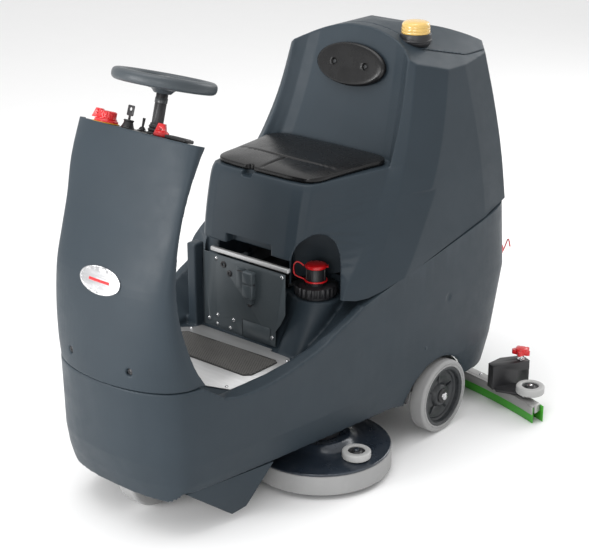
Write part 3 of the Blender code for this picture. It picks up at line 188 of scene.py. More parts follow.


# Several materials below get a paler painted highlight along their convex edges.
BODY = material("moulded_body", (0.027, 0.038, 0.048), 0.42, grain=0.30, pitch=1100, mottle=0.05,
                edge_highlight=0.35, reflect=0.22)
BLACK = material("black_plastic_satin", (0.014, 0.014, 0.016), 0.42, grain=0.25, pitch=1300,
                 edge_highlight=0.2)
VINYL = material("seat_vinyl_grain", (0.0065, 0.0065, 0.0070), 0.26, grain=0.07, pitch=520,
                 leather=True, mottle=0.10, reflect=0.32)
GRIP = material("steering_plastic_satin", (0.040, 0.050, 0.058), 0.42, grain=0.3, pitch=1200,
                mottle=0.06, edge_highlight=0.2)
DECK = material("deck_enamel", (0.016, 0.023, 0.034), 0.30, metallic=0.15, grain=0.08, pitch=500,
                coat=0.4, edge_highlight=0.3, dust=0.06)
FRAME = material("frame_powder", (0.030, 0.032, 0.036), 0.50, metallic=0.2, grain=0.3, pitch=800,
                 edge_highlight=0.4, dust=0.15)
PANEL = material("panel_enamel", (0.055, 0.068, 0.076), 0.40, metallic=0.1, grain=0.10, pitch=700,
                 mottle=0.1, edge_highlight=0.3)
LIGHT = material("plate_metal", (0.52, 0.52, 0.52), 0.40, metallic=0.65, grain=0.22, pitch=160,
                 stretch=(1.0, 9.0, 9.0), mottle=0.08)
MAT = material("perforated_mat", (0.120, 0.116, 0.110), 0.52, metallic=0.35, grain=0.3, pitch=600,
               dust=0.12)
STUD = material("mat_stud", (0.030, 0.029, 0.028), 0.6, metallic=0.2, grain=0.2, pitch=900)
STEEL = material("bright_steel", (0.62, 0.62, 0.63), 0.24, metallic=1.0, grain=0.12, pitch=300,
                 stretch=(1.0, 6.0, 1.0), mottle=0.08)
RUBBER = material("grey_rubber_matt", (0.300, 0.300, 0.300), 0.58, grain=0.30, pitch=700,
                  mottle=0.07, dust=0.06)
ROLLER = material("roller_nylon", (0.430, 0.430, 0.425), 0.45, grain=0.15, pitch=900, mottle=0.05)
RIM = material("rim_plastic", (0.022, 0.025, 0.028), 0.36, grain=0.15, pitch=900, edge_highlight=0.3,
               dust=0.05)
GREEN = material("blade_rubber", (0.045, 0.330, 0.018), 0.42, grain=0.12, pitch=600, mottle=0.08)
RED = material("red_gloss", (0.640, 0.010, 0.014), 0.30, grain=0.05, pitch=600, mottle=0.06,
               coat=0.3)
AMBER = material("amber_lens_glaze", (0.86, 0.58, 0.17), 0.20, grain=0.06, pitch=500, mottle=0.04,
                 coat=0.5, transmission=0.25)
YELLOW = material("warning_ring", (0.75, 0.42, 0.02), 0.40, grain=0.05, pitch=700)
BRISTLE = material("bristle_nylon", (0.050, 0.062, 0.095), 0.60, grain=0.4, pitch=1500,
                   stretch=(4.0, 4.0, 0.4), mottle=0.25)
BATTERY = material("battery_case_matt", (0.085, 0.085, 0.090), 0.55, grain=0.3, pitch=700)
SILVER = material("badge_silver", (0.60, 0.60, 0.61), 0.24, metallic=0.85, grain=0.08, pitch=500,
                  stretch=(1.0, 1.0, 8.0))
GREY = material("squeegee_holder_grey", (0.360, 0.355, 0.350), 0.42, metallic=0.4, grain=0.15,
                pitch=600, edge_highlight=0.2)


# ---- mesh helpers ----
def closed_object(bm, name="work"):
    """Turns a BMesh into an object whose faces all point outward."""
    bmesh.ops.remove_doubles(bm, verts=bm.verts, dist=1e-6)
    bmesh.ops.recalc_face_normals(bm, faces=bm.faces)
    mesh = bpy.data.meshes.new(name)
    bm.to_mesh(mesh)
    bm.free()
    obj = bpy.data.objects.new(name, mesh)
    bpy.context.scene.collection.objects.link(obj)
    return obj


def box(low, high):
    """A block between two opposite corners."""
    bm = bmesh.new()
    size = [b - a for a, b in zip(low, high)]
    centre = [(a + b) / 2 for a, b in zip(low, high)]
    matrix = Matrix.Translation(centre) @ Matrix.Diagonal((*size, 1.0))
    bmesh.ops.create_cube(bm, size=1.0, matrix=matrix)
    return closed_object(bm)


def frame_along(start, direction):
    """The matrix that takes the origin to start and the z axis to direction."""
    turn = Vector((0, 0, 1)).rotation_difference(Vector(direction).normalized())
    return Matrix.Translation(start) @ turn.to_matrix().to_4x4()


def lathe(profile, start, direction=(0, 0, 1), segments=96):
    """Turns a closed (radius, height) profile about an axis through start."""
    bm = bmesh.new()
    columns = []
    for radius, height in profile:
        if radius < 1e-9:
            columns.append([bm.verts.new((0.0, 0.0, height))] * segments)
            continue
        angles = [2 * math.pi * k / segments for k in range(segments)]
        columns.append([bm.verts.new((radius * math.cos(a), radius * math.sin(a), height))
                        for a in angles])
    for lower, upper in zip(columns, columns[1:] + columns[:1]):
        if lower[0] is lower[1] and upper[0] is upper[1]:
            continue
        for k in range(segments):
            n = (k + 1) % segments
            corners = list(dict.fromkeys((lower[k], lower[n], upper[n], upper[k])))
            bm.faces.new(corners)
    bmesh.ops.transform(bm, matrix=frame_along(start, direction), verts=bm.verts)
    return closed_object(bm)


def cylinder(start, end, radius, segments=48, end_radius=None):
    """A round bar, or a cone where end_radius is given."""
    start = Vector(start)
    along = Vector(end) - start
    top = radius if end_radius is None else end_radius
    profile = ((0.0, 0.0), (radius, 0.0), (top, along.length), (0.0, along.length))
    return lathe(profile, start, along, segments)


def ellipse(half_x, half_z, centre_z, count):
    """Outline of an ellipse about x = 0."""
    return [(half_x * math.cos(a), centre_z + half_z * math.sin(a))
            for a in np.linspace(0, 2 * math.pi, count, endpoint=False)]


def wavy_circle(x, y, count, radius_at):
    """Plan about x, y whose radius follows radius_at(step, angle)."""
    points = []
    for k in range(count):
        angle = 2 * math.pi * k / count
        radius = radius_at(k, angle)
        points.append((x + radius * math.cos(angle), y + radius * math.sin(angle)))
    return points


def bridged(bm, rings):
    """Joins each closed ring of vertices to the next with faces."""
    count = len(rings[0])
    for lower, upper in zip(rings, rings[1:]):
        for i in range(count):
            j = (i + 1) % count
            bm.faces.new((lower[i], lower[j], upper[j], upper[i]))


def prism(points, axis, low, high):
    """Extrudes a polygon along an axis; points list the other two axes in order."""
    bm = bmesh.new()
    others = [i for i in range(3) if i != axis]
    corners = []
    for point in points:
        corner = [0.0, 0.0, 0.0]
        corner[axis] = low
        corner[others[0]], corner[others[1]] = point
        corners.append(bm.verts.new(corner))
    made = bmesh.ops.extrude_face_region(bm, geom=[bm.faces.new(corners)])
    step = [0.0, 0.0, 0.0]
    step[axis] = high - low
    moved = [g for g in made["geom"] if isinstance(g, bmesh.types.BMVert)]
    bmesh.ops.translate(bm, verts=moved, vec=step)
    return closed_object(bm)


def loft(sections):
    """A solid through closed sections that have the same number of points."""
    bm = bmesh.new()
    rings = [[bm.verts.new(p) for p in section] for section in sections]
    bridged(bm, rings)
    bm.faces.new(list(reversed(rings[0])))
    bm.faces.new(rings[-1])
    return closed_object(bm)


def spline(rows, steps, closed=False):
    """Centripetal Catmull-Rom rows through the given rows of numbers."""
    rows = np.array(rows, float)
    count = len(rows)
    made = []
    for i in range(count if closed else count - 1):
        picks = [(i + k) % count if closed else min(max(i + k, 0), count - 1) for k in range(-1, 3)]
        p0, p1, p2, p3 = rows[picks]
        gaps = [max(np.linalg.norm(b - a), 1e-9) ** 0.5 for a, b in ((p0, p1), (p1, p2), (p2, p3))]
        d0, d1, d2 = gaps
        if not closed and i == 0:
            m1 = p2 - p1
        else:
            m1 = d1 * ((p1 - p0) / d0 - (p2 - p0) / (d0 + d1) + (p2 - p1) / d1)
        if not closed and i == count - 2:
            m2 = p2 - p1
        else:
            m2 = d1 * ((p2 - p1) / d1 - (p3 - p1) / (d1 + d2) + (p3 - p2) / d2)
        for s in range(steps):
            t = s / steps
            made.append((2 * t ** 3 - 3 * t * t + 1) * p1 + (t ** 3 - 2 * t * t + t) * m1
                        + (3 * t * t - 2 * t ** 3) * p2 + (t ** 3 - t * t) * m2)
    if not closed:
        made.append(rows[-1])
    return np.array(made)


def corner_cut(ring, passes, share=0.22):
    """Rounds a closed outline by trimming its corners, so that it never bulges."""
    ring = np.array(ring, float)
    for _ in range(passes):
        ahead = np.roll(ring, -1, axis=0)
        ring = np.stack((ring + (ahead - ring) * share, ahead + (ring - ahead) * share), axis=1)
        ring = ring.reshape(-1, 3)
    return ring


def tube(path, radius, sides=16, closed=False):
    """A round tube along a path, or a ring where the path is closed."""
    points = [Vector(p) for p in path]
    count = len(points)
    bm = bmesh.new()
    rings = []
    side = None
    for i, point in enumerate(points):
        if closed:
            ahead = points[(i + 1) % count] - points[i - 1]
        else:
            ahead = points[min(i + 1, count - 1)] - points[max(i - 1, 0)]
        ahead.normalize()
        if side is None:
            start = Vector((0, 0, 1)) if abs(ahead.z) < 0.9 else Vector((1, 0, 0))
            side = ahead.cross(start)
        side = (side - ahead * side.dot(ahead)).normalized()
        rise = side.cross(ahead)
        angles = [2 * math.pi * k / sides for k in range(sides)]
        rings.append([bm.verts.new(point + (side * math.cos(a) + rise * math.sin(a)) * radius)
                      for a in angles])
    bridged(bm, rings + rings[:1] if closed else rings)
    if not closed:
        bm.faces.new(rings[0])
        bm.faces.new(rings[-1])
    return closed_object(bm)


def applied(obj):
    """Puts the result of the modifiers into the mesh."""
    graph = bpy.context.evaluated_depsgraph_get()
    result = bpy.data.meshes.new_from_object(obj.evaluated_get(graph))
    obj.modifiers.clear()
    obj.data = result
    return obj


def combine(target, operation, tools):
    """Applies one Boolean for each tool, and uses the tools up."""
    for tool in tools:
        change = target.modifiers.new("combine", "BOOLEAN")
        change.operation = operation
        change.solver = "MANIFOLD"
        change.object = tool
        applied(target)
        bpy.data.objects.remove(tool, do_unlink=True)
    return target


def join(target, *tools):
    return combine(target, "UNION", tools)


def cut(target, *tools):
    return combine(target, "DIFFERENCE", tools)


def keep(target, *tools):
    return combine(target, "INTERSECT", tools)


def group(first, *others):
    """Puts several meshes into one object without merging them."""
    bm = bmesh.new()
    for obj in (first, *others):
        bm.from_mesh(obj.data)
    bm.to_mesh(first.data)
    bm.free()
    for obj in others:
        bpy.data.objects.remove(obj, do_unlink=True)
    return first


def moved(obj, matrix):
    """Moves the mesh itself, and keeps its faces outward if it is mirrored."""
    obj.data.transform(matrix)
    if matrix.determinant() < 0:
        obj.data.flip_normals()
    return obj


def soften(obj, voxel, passes=5, most=150000):
    """Rounds every edge of a solid by rebuilding its skin on a fine grid."""
    skin = obj.modifiers.new("skin", "REMESH")
    skin.mode = "VOXEL"
    skin.voxel_size = voxel * 1.0
    ease = obj.modifiers.new("ease", "SMOOTH")
    ease.factor = 0.5
    ease.iterations = passes
    applied(obj)
    triangles = 2 * len(obj.data.polygons)
    if triangles > most:
        thin = obj.modifiers.new("thin", "DECIMATE")
        thin.ratio = most / triangles
        applied(obj)
    obj.data.shade_smooth()
    return obj


def eased(obj, width=0.0008, segments=2, sharp=32):
    """Bevels the hard edges and shades the curved faces smooth."""
    if width:
        round_off = obj.modifiers.new("round", "BEVEL")
        round_off.width = width
        round_off.segments = segments
        round_off.limit_method = "ANGLE"
        round_off.angle_limit = math.radians(sharp)
        obj.data.shade_smooth()
        round_off.harden_normals = True
        applied(obj)
    obj.data.shade_smooth()
    obj.data.set_sharp_from_angle(angle=CREASE)
    return obj


def piece(obj, name, look, body, slot, *replaced):
    """Names a finished piece, gives it its material and sets it on its body."""
    obj.name = name
    obj.data.name = name
    obj.data.materials.clear()
    obj.data.materials.append(look)
    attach(obj, body)
    if replaced:
        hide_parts(*replaced)
    return obj


def refined(node, look, width=0.0008, segments=2, suffix="_finish"):
    """A bevelled copy of a CAD node, in its place and on its body."""
    source = frame["nodes"][node]
    bm = bmesh.new()
    bm.from_mesh(source.data)
    bmesh.ops.remove_doubles(bm, verts=bm.verts, dist=2e-6)
    bmesh.ops.dissolve_limit(bm, angle_limit=math.radians(0.6), verts=bm.verts, edges=bm.edges)
    obj = eased(closed_object(bm), width, segments)
    slots = {s["node"]: s["material_slot"] for s in frame["record"]["subparts"]}
    return piece(obj, node + suffix, look, source["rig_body"], slots[node], node)


def screw(x, y, z, direction, radius=0.0055):
    """A domed cross-recess screw head on a washer."""
    head = lathe(
        ((0.0, -0.001), (radius, -0.001), (radius, 0.0006), (0.86 * radius, 0.0016),
         (0.5 * radius, 0.0028), (0.0, 0.0032)), (0, 0, 0), segments=32)
    for angle in (0.0, math.pi / 2):
        slot_cutter = box((-0.55 * radius, -0.0006, 0.0016), (0.55 * radius, 0.0006, 0.006))
        cut(head, moved(slot_cutter, Matrix.Rotation(angle, 4, "Z")))
    return moved(head, frame_along((x, y, z), direction))


# ---- shells ----
def mirror_points(half):
    """A closed plan from its half at x >= 0, listed from the middle to the middle."""
    return list(half) + [(-x, y) for x, y in reversed(half) if abs(x) > 1e-9]


def at_height(outline, z):
    """A plan's points, lifted to height z."""
    return [(x, y, z) for x, y in outline]


def inset(outline, distance):
    """Moves a closed plan's sides inward by a distance."""
    moved_points = []
    count = len(outline)
    for i in range(count):
        before, here, after = (Vector(outline[k % count]) for k in (i - 1, i, i + 1))
        first = (here - before).normalized()
        second = (after - here).normalized()
        normal = Vector((-first.y, first.x))
        bisector = normal + Vector((-second.y, second.x))
        moved_points.append(tuple(here + bisector * (distance / max(0.35, bisector.dot(normal)))))
    return moved_points


def base_outline(front, nose, depth, shoulder, waist, flank, rear, rear_half):
    """Half plan of the base: a round nose, a waist at the step and a squarer rear."""
    return [
        (0.0, front), (0.45 * nose, front + 0.095 * depth), (0.75 * nose, front + 0.343 * depth),
        (0.92 * nose, front + 0.648 * depth), (nose, front + depth), (shoulder, -0.520),
        (waist, -0.350), (0.5 * (waist + flank), -0.100), (flank, 0.200), (flank, rear - 0.125),
        (rear_half, rear - 0.036), (0.55 * rear_half, rear - 0.006), (0.0, rear),
    ]


BASE_LEVELS = (
    # height, then front, nose half width, nose depth, shoulder, waist, flank, rear, rear half width
    (0.095, base_outline(-0.636, 0.200, 0.050, 0.212, 0.236, 0.300, 0.594, 0.265)),
    (0.145, base_outline(-0.654, 0.214, 0.070, 0.226, 0.250, 0.308, 0.608, 0.270)),
    (0.200, base_outline(-0.668, 0.219, 0.085, 0.234, 0.262, 0.316, 0.622, 0.275)),
    (0.395, base_outline(-0.683, 0.219, 0.105, 0.240, 0.274, 0.320, 0.661, 0.285)),
    (0.610, base_outline(-0.683, 0.219, 0.105, 0.240, 0.278, 0.318, 0.640, 0.285)),
)
BASE_UNDERSIDE = (
    (-0.700, 0.096), (-0.612, 0.096), (-0.598, 0.1235), (-0.023, 0.1255), (0.091, 0.124),
    (0.144, 0.113), (0.400, 0.119), (0.560, 0.108), (0.700, 0.108),
)
BASE_TOP = (
    (0.700, 0.607), (0.542, 0.5805), (0.296, 0.5375), (0.077, 0.4950), (0.000, 0.4760),
    (-0.047, 0.4620), (-0.077, 0.447), (-0.143, 0.420), (-0.182, 0.400), (-0.255, 0.378),
    (-0.326, 0.360), (-0.396, 0.350), (-0.486, 0.354), (-0.551, 0.394),
)


def base_loft(shrink):
    """The base's full volume, with its walls moved in by shrink."""
    rings = []
    for z, half in BASE_LEVELS:
        outline = mirror_points(half)
        rings.append(corner_cut(at_height(inset(outline, shrink) if shrink else outline, z), 3))
    if shrink:
        rings.insert(0, rings[0] * (1.0, 1.0, 0.0) + (0.0, 0.0, 0.05))
    return loft(rings)


def well_section(y, inner, outer, top):
    """Section of the step-through well, which is cut out of the base."""
    half = [(-0.36, outer), (-0.198, inner), (-0.195, 0.3241)]
    right = [(-x, z) for x, z in reversed(half)]
    return [(x, y, z) for x, z in half + right + [(0.36, top), (-0.36, top)]]


PEDESTAL_LEVELS = (
    # height, centre x and y, half width, depth ahead, squareness, wall at its left, arc start
    (0.318, 0.1460, -0.100, 0.0450, 0.0720, 4.0, -0.1462, -0.1462, 205),
    (0.365, 0.1475, -0.080, 0.0495, 0.0670, 3.0, -0.1120, -0.1260, 218),
    (0.410, 0.1490, -0.060, 0.0535, 0.0620, 2.4, -0.0800, -0.1040, 232),
    (0.455, 0.1500, -0.042, 0.0575, 0.0575, 2.0, -0.0635, -0.0830, 247),
)


def pedestal_ring(level, steps=40):
    """Plan of the filler's pedestal: a round front that runs into a flat wall."""
    z, centre_x, centre_y, half_width, depth, squareness, wall_y, corner_y, start = level
    points = [(0.055, 0.035), (0.055, wall_y), (0.0985, corner_y)]
    for k in range(steps + 1):
        angle = math.radians(start + (360 - start) * k / steps)
        x = math.copysign(abs(math.cos(angle)) ** (2 / squareness), math.cos(angle))
        y = abs(math.sin(angle)) ** (2 / squareness)
        points.append((centre_x + half_width * x, centre_y - depth * y))
    return at_height(points + [(centre_x + half_width, 0.035)], z)


def build_base():
    """The lower moulding: one softened skin, with the well, arches and pedestal."""
    top = [tuple(p) for p in spline(BASE_TOP, 4)]
    high_top = [(y, z + (0.020 if y > -0.04 else 0.0)) for y, z in top]
    shell = keep(base_loft(0.0), prism(list(BASE_UNDERSIDE) + high_top + [(-0.700, 0.394)], 0, -0.36, 0.36))
    well = loft(spline(np.array([
        well_section(-0.50, 0.343, 0.378, 0.80), well_section(-0.145, 0.352, 0.500, 0.80),
        well_section(0.020, 0.455, 0.540, 0.80)]).reshape(3, -1), 6).reshape(13, -1, 3))
    tower = box((-0.190, -0.148, 0.318), (0.064, 0.035, 0.455))
    join(tower, loft([pedestal_ring(level) for level in spline(PEDESTAL_LEVELS, 5)]))
    cavity_side = ((-0.70, 0.04), (0.70, 0.04), (0.70, 0.80), (0.040, 0.80), (0.040, 0.3165),
                   (-0.70, 0.3165))
    cavity = keep(base_loft(WALL), prism(cavity_side, 0, -0.37, 0.37))
    tower_cavity = box((-0.176, -0.138, 0.30), (0.057, 0.10, 0.448))
    join(tower_cavity, box((0.050, -0.003, 0.30), (0.178, 0.10, 0.448)))
    front_top = box((-0.150, -0.1375, 0.36), (0.050, 0.060, 0.80))
    cut(shell, well)
    join(shell, tower)
    cut(shell, cavity, tower_cavity, front_top)
    join(shell, box((-0.190, -0.178, 0.3165), (-0.160, -0.141, 0.557)))
    cut(shell, cylinder((-0.40, *WHEEL_ARCH), (0.40, *WHEEL_ARCH), 0.134, 96))
    cut(shell, cylinder((*FILLER, 0.30), (*FILLER, 0.60), 0.0405))
    cut(shell, cylinder((0, -0.509, 0.28), (0, -0.509, 0.60), 0.045))
    cut(shell, box((-0.085, 0.560, 0.05), (0.085, 0.70, 0.185)))
    join(shell, cylinder((0.235, 0.625, 0.408), (0.235, 0.6565, 0.408), 0.0190))
    for y, z in SIDE_PLUGS:
        for side in (-1, 1):
            cut(shell, cylinder((side * 0.317, y, z), (side * 0.34, y, z), 0.011, 32, 0.016))
    soften(shell, 0.0037, 5, 180000)
    rear_top = [(y, z - 0.0008) for y, z in top if y > -0.0481]
    cut(shell, prism(rear_top + [(-0.048, 0.60), (-0.048, 0.90), (0.70, 0.90)], 0, -0.40, 0.40))
    shell.data.set_sharp_from_angle(angle=CREASE)
    piece(shell, "base_moulding", BODY, "chassis", "body_plastic", "base_shell")
    studs = []
    for y, z in SIDE_PLUGS:
        for side in (-1, 1):
            studs.append(lathe(((0.0, 0.0), (0.0052, 0.0), (0.0042, 0.0016), (0.0, 0.0024)),
                               (side * 0.3150, y, z), (side, 0, 0), 24))
    piece(eased(group(*studs), 0.0), "base_side_plugs", BODY, "chassis", "body_plastic")


def console_z(y):
    """Height of the sloping console at y."""
    return 0.957 - CONSOLE_SLOPE * (y + 0.50)


COWL_LEVELS = (
    # height, half width, front, side edge and end of the wall
    (0.396, 0.2180, -0.683, -0.545, -0.536), (0.440, 0.2140, -0.680, -0.568, -0.562),
    (0.500, 0.2080, -0.674, -0.588, -0.583), (0.560, 0.2010, -0.668, -0.600, -0.596),
    (0.640, 0.1940, -0.655, -0.604, -0.600), (0.720, 0.1890, -0.626, -0.592, -0.588),
    (0.790, 0.1880, -0.600, -0.575, -0.571), (0.880, 0.1950, -0.577, -0.548, -0.543),
    (1.000, 0.2000, -0.542, -0.490, -0.478),
)


def cowl_curve(half_width, front, side, shrink, steps=18):
    """Plan of the cowl's bowed front, from its right edge to its left edge."""
    points = []
    for k in range(2 * steps + 1):
        angle = math.pi / 2 * (k / steps - 1)
        depth = (side - front - shrink) * max(0.0, math.cos(angle)) ** 0.8
        points.append(((half_width - shrink) * math.sin(angle), side - depth))
    return points


def cowl_ring(level, inner):
    """Closed plan of the cowl's wall, of thickness inner."""
    z, half_width, front, side, end = level
    outer = [(-half_width, end)] + cowl_curve(half_width, front, side, 0.0) + [(half_width, end)]
    edge = half_width - inner
    inside = [(-edge, end)] + cowl_curve(half_width, front, side, inner) + [(edge, end)]
    return at_height(outer + list(reversed(inside)), z)


def below_console(height):
    """Everything under the console's plane, moved up by height."""
    low_y, high_y = -0.80, 0.0
    points = ((low_y, 0.30), (high_y, 0.30), (high_y, console_z(high_y) + height),
              (low_y, console_z(low_y) + height))
    return prism(points, 0, -0.40, 0.40)


def cover_ring(level):
    """Closed plan of the cover that closes the cowl's rear."""
    z, half_width, front, side, end = level
    curve = cowl_curve(half_width, front, side, WALL + 0.0035)
    rear = -0.447 - 0.17 * max(0.0, 0.94 - z) if z > 0.62 else -0.500 + (0.62 - z) * 0.28
    rear = max(rear, end)
    back = [(0.125, end - 0.004), (0.085, rear - 0.020), (0.045, rear), (-0.045, rear)]
    back += [(-0.085, rear - 0.020), (-0.125, end - 0.004)]
    return at_height(curve + back, z)


def column_bore(radius):
    """Clearance for the steering column."""
    return cylinder(STEER_CENTRE - COLUMN_AXIS * 0.25, STEER_CENTRE - COLUMN_AXIS * 0.04, radius)


def build_cowl():
    """The cowl at the front, its two screws and the cover behind it."""
    levels = spline(COWL_LEVELS, 4)
    cowl = keep(loft([cowl_ring(level, WALL) for level in levels]), below_console(0.004))
    cut(cowl, *[cylinder((x, -0.70, 0.440), (x, -0.664, 0.440), 0.0095) for x in COWL_SCREWS])
    soften(cowl, 0.0022, 4, 150000)
    piece(cowl, "cowl_moulding", BODY, "chassis", "body_plastic", "steering_cowl")
    heads = [screw(x, -0.6640, 0.440, (0, -1, 0), 0.0085) for x in COWL_SCREWS]
    piece(eased(group(*heads), 0.0), "cowl_screws", BLACK, "chassis", "black_plastic")
    cover = keep(loft([cover_ring(level) for level in levels]), below_console(-0.006))
    hollow = prism(((-0.60, 0.30), (-0.49, 0.30), (-0.512, 0.64), (-0.470, 0.92), (-0.530, 0.92),
                    (-0.595, 0.74), (-0.635, 0.60)), 0, -0.075, 0.075)
    cut(cover, hollow, column_bore(0.030))
    soften(cover, 0.0030, 4, 120000)
    piece(cover, "column_cover_moulding", BODY, "chassis", "body_plastic", "column_cover")


LOWER_TANK = (
    # height, front, front corner, edge x and y, crease x and y, flank, rear
    (0.450, -0.152, 0.176, 0.272, -0.115, 0.290, -0.060, 0.318, 0.642),
    (0.526, -0.152, 0.176, 0.270, -0.070, 0.290, -0.002, 0.318, 0.642),
    (0.600, -0.148, 0.177, 0.255, 0.014, 0.281, 0.062, 0.308, 0.642),
    (0.700, -0.130, 0.177, 0.235, 0.100, 0.262, 0.140, 0.294, 0.642),
    (0.750, -0.116, 0.176, 0.223, 0.140, 0.252, 0.172, 0.285, 0.641),
    (0.765, -0.108, 0.172, 0.219, 0.154, 0.249, 0.181, 0.283, 0.640),
)
UPPER_TANK = (
    # height, back behind the seat, edge x and y, crease x and y, flank, rear
    (0.700, 0.180, 0.235, 0.100, 0.262, 0.140, 0.294, 0.642),
    (0.770, 0.206, 0.218, 0.158, 0.248, 0.184, 0.282, 0.640),
    (0.880, 0.248, 0.205, 0.217, 0.228, 0.232, 0.264, 0.628),
    (1.000, 0.284, 0.195, 0.253, 0.213, 0.267, 0.246, 0.606),
    (1.100, 0.312, 0.186, 0.278, 0.202, 0.290, 0.236, 0.585),
)
TANK_TOP = (
    # side view: y and z of the top, from the front to the rear
    (0.100, 1.0700), (0.270, 1.0790), (0.400, 1.0810), (0.444, 1.0710), (0.500, 1.0620),
    (0.560, 1.0380), (0.600, 1.0120), (0.640, 0.9650), (0.665, 0.9000), (0.690, 0.7500),
    (0.700, 0.5000),
)
TANK_SEAM = (
    # side view: y and z of the seam, from the rear to the front
    (0.700, 0.6096), (0.542, 0.5831), (0.296, 0.5401), (0.077, 0.4976), (0.020, 0.4835),
    (-0.020, 0.4770), (-0.060, 0.4780), (-0.100, 0.4880), (-0.400, 0.4880),
)


def tank_tail(flank, rear):
    """The rounded rear corner that both parts of the tank share."""
    return [
        (flank, rear - 0.170), (flank - 0.014, rear - 0.050), (flank - 0.052, rear - 0.006),
        (0.62 * flank, rear + 0.018), (0.28 * flank, rear + 0.030), (0.0, rear + 0.032),
    ]


def lower_tank_ring(level):
    """Plan of the seat box."""
    z, front, corner, edge_x, edge_y, crease_x, crease_y, flank, rear = level
    half = [
        (0.0, front), (corner - 0.052, front), (corner - 0.022, front + 0.006),
        (corner - 0.006, front + 0.020), (corner, front + 0.045), (edge_x, edge_y),
        (crease_x, crease_y), (flank, crease_y + 0.120),
    ] + tank_tail(flank, rear)
    return at_height(mirror_points(half), z)


def upper_tank_ring(level):
    """Plan of the back behind the seat."""
    z, back, edge_x, edge_y, crease_x, crease_y, flank, rear = level
    half = [
        (0.0, back), (edge_x - 0.060, back - 0.002), (edge_x - 0.030, back - 0.010),
        (edge_x - 0.012, 0.5 * (back + edge_y) - 0.006), (edge_x, edge_y),
        (crease_x, crease_y), (flank, crease_y + 0.100),
    ] + tank_tail(flank, rear)
    return at_height(mirror_points(half), z)


def tank_roof(drop):
    """Everything under the tank's crowned top."""
    roof = []
    for k in range(-24, 25):
        x = 0.34 * k / 24
        roof.append((x, 1.082 - drop - 1.55 * x * x + 0.9 * max(0.0, abs(x) - 0.22) ** 2))
    return prism(roof + [(0.34, 0.30), (-0.34, 0.30)], 1, -0.30, 0.75)


def above_seam():
    """Everything above the seam between tank and base."""
    return prism([(-0.40, 1.30), (0.80, 1.30), (0.80, 0.62)] + list(TANK_SEAM), 0, -0.40, 0.40)


def tank_solid(drop=0.0):
    """The tank without its openings, with its top lowered by drop."""
    levels_low, levels_high = spline(LOWER_TANK, 4), spline(UPPER_TANK, 5)
    body = loft([lower_tank_ring(level) for level in levels_low])
    join(body, loft([upper_tank_ring(level) for level in levels_high]))
    top = [(y, z - drop) for y, z in spline(TANK_TOP, 4)]
    side_view = list(reversed(top)) + [(0.10, 0.90), (-0.165, 0.90), (-0.165, 0.44), (0.700, 0.44)]
    return keep(body, tank_roof(drop), prism(side_view, 0, -0.36, 0.36))


def lid_region(gap):
    """The block of the tank that becomes its lid, grown by a gap."""
    def seam(y):
        return 1.0345 - 0.2287 * (y - 0.340) - gap

    front = 0.340 - gap
    outline = ((front, seam(front)), (0.750, seam(0.750)), (0.750, 1.20), (front, 1.20))
    return prism(outline, 0, -0.222 - gap, 0.222 + gap)


def filler_arch(grow=0.0):
    """The arched recess for the filler, turned to face the left front corner."""
    rows = ((0.0625, 0.40), (0.0625, 0.555), (0.058, 0.590), (0.044, 0.618), (0.022, 0.634),
            (0.0, 0.639))
    half = [(x + grow, z + grow) for x, z in spline(rows, 4)]
    points = half + [(-x, z) for x, z in reversed(half[:-1])]
    arch = prism(points, 1, -0.200, 0.070 + grow)
    return moved(arch, Matrix.Translation((*FILLER, 0.0)) @ Matrix.Rotation(math.radians(38.5), 4, "Z"))


def build_tank():
    """The recovery tank and its lid, each with a softened skin."""
    tank = tank_solid()
    cavity = prism(((-0.095, 0.40), (0.600, 0.40), (0.600, 0.880), (0.500, 0.930), (0.335, 0.930),
                    (0.226, 0.748), (-0.095, 0.748)), 0, -0.160, 0.160)
    join(cavity, box((-0.224, 0.262, 0.41), (0.224, 0.598, 0.870)))
    join(cavity, box((-0.240, 0.150, 0.42), (0.240, 0.610, 0.640)))
    cut(cavity, filler_arch(0.006))
    cut(tank, lid_region(GAP), cavity, box((-0.110, -0.060, 0.700), (0.110, 0.140, 0.800)),
        box((-0.140, 0.360, 0.800), (0.140, 0.560, 1.10)))
    cut(tank, box((-0.200, -0.300, 0.400), (0.150, -0.085, 0.575)))
    cut(tank, box((-0.074, -0.170, 0.560), (0.079, -0.120, 0.601)), filler_arch())
    cut(tank, box((-0.052, -0.130, 0.752), (-0.018, -0.088, 0.80)))
    soften(tank, 0.0032, 3, 185000)
    keep(tank, above_seam())
    tank.data.set_sharp_from_angle(angle=CREASE)
    piece(tank, "tank_moulding", BODY, "upper_tank", "body_plastic", "recovery_tank")
    lid = keep(tank_solid(), lid_region(0.0))
    underside = keep(tank_solid(0.006), lid_region(-0.006))
    cut(lid, moved(underside, Matrix.Translation((0, 0, -0.0065))))
    cut(lid, moved(box((-0.008, 0.440, -0.004), (0.008, 0.52, 0.004)), Matrix.Translation((0.10, 0, 1.046))))
    soften(lid, 0.0027, 4, 120000)
    piece(lid, "tank_lid_moulding", BODY, "lid", "body_plastic", "tank_lid")


# ---- wheels, steering and controls ----
def disc_profile(radius, half, edge, hub=0.0):
    """Half section of a wheel tread with rounded shoulders."""
    rows = [(hub, -half)]
    for k in range(7):
        angle = math.pi / 2 * k / 6
        rows.append((radius - edge + edge * math.sin(angle), -half + edge * (1 - math.cos(angle))))
    return rows + [(r, -h) for r, h in reversed(rows)]


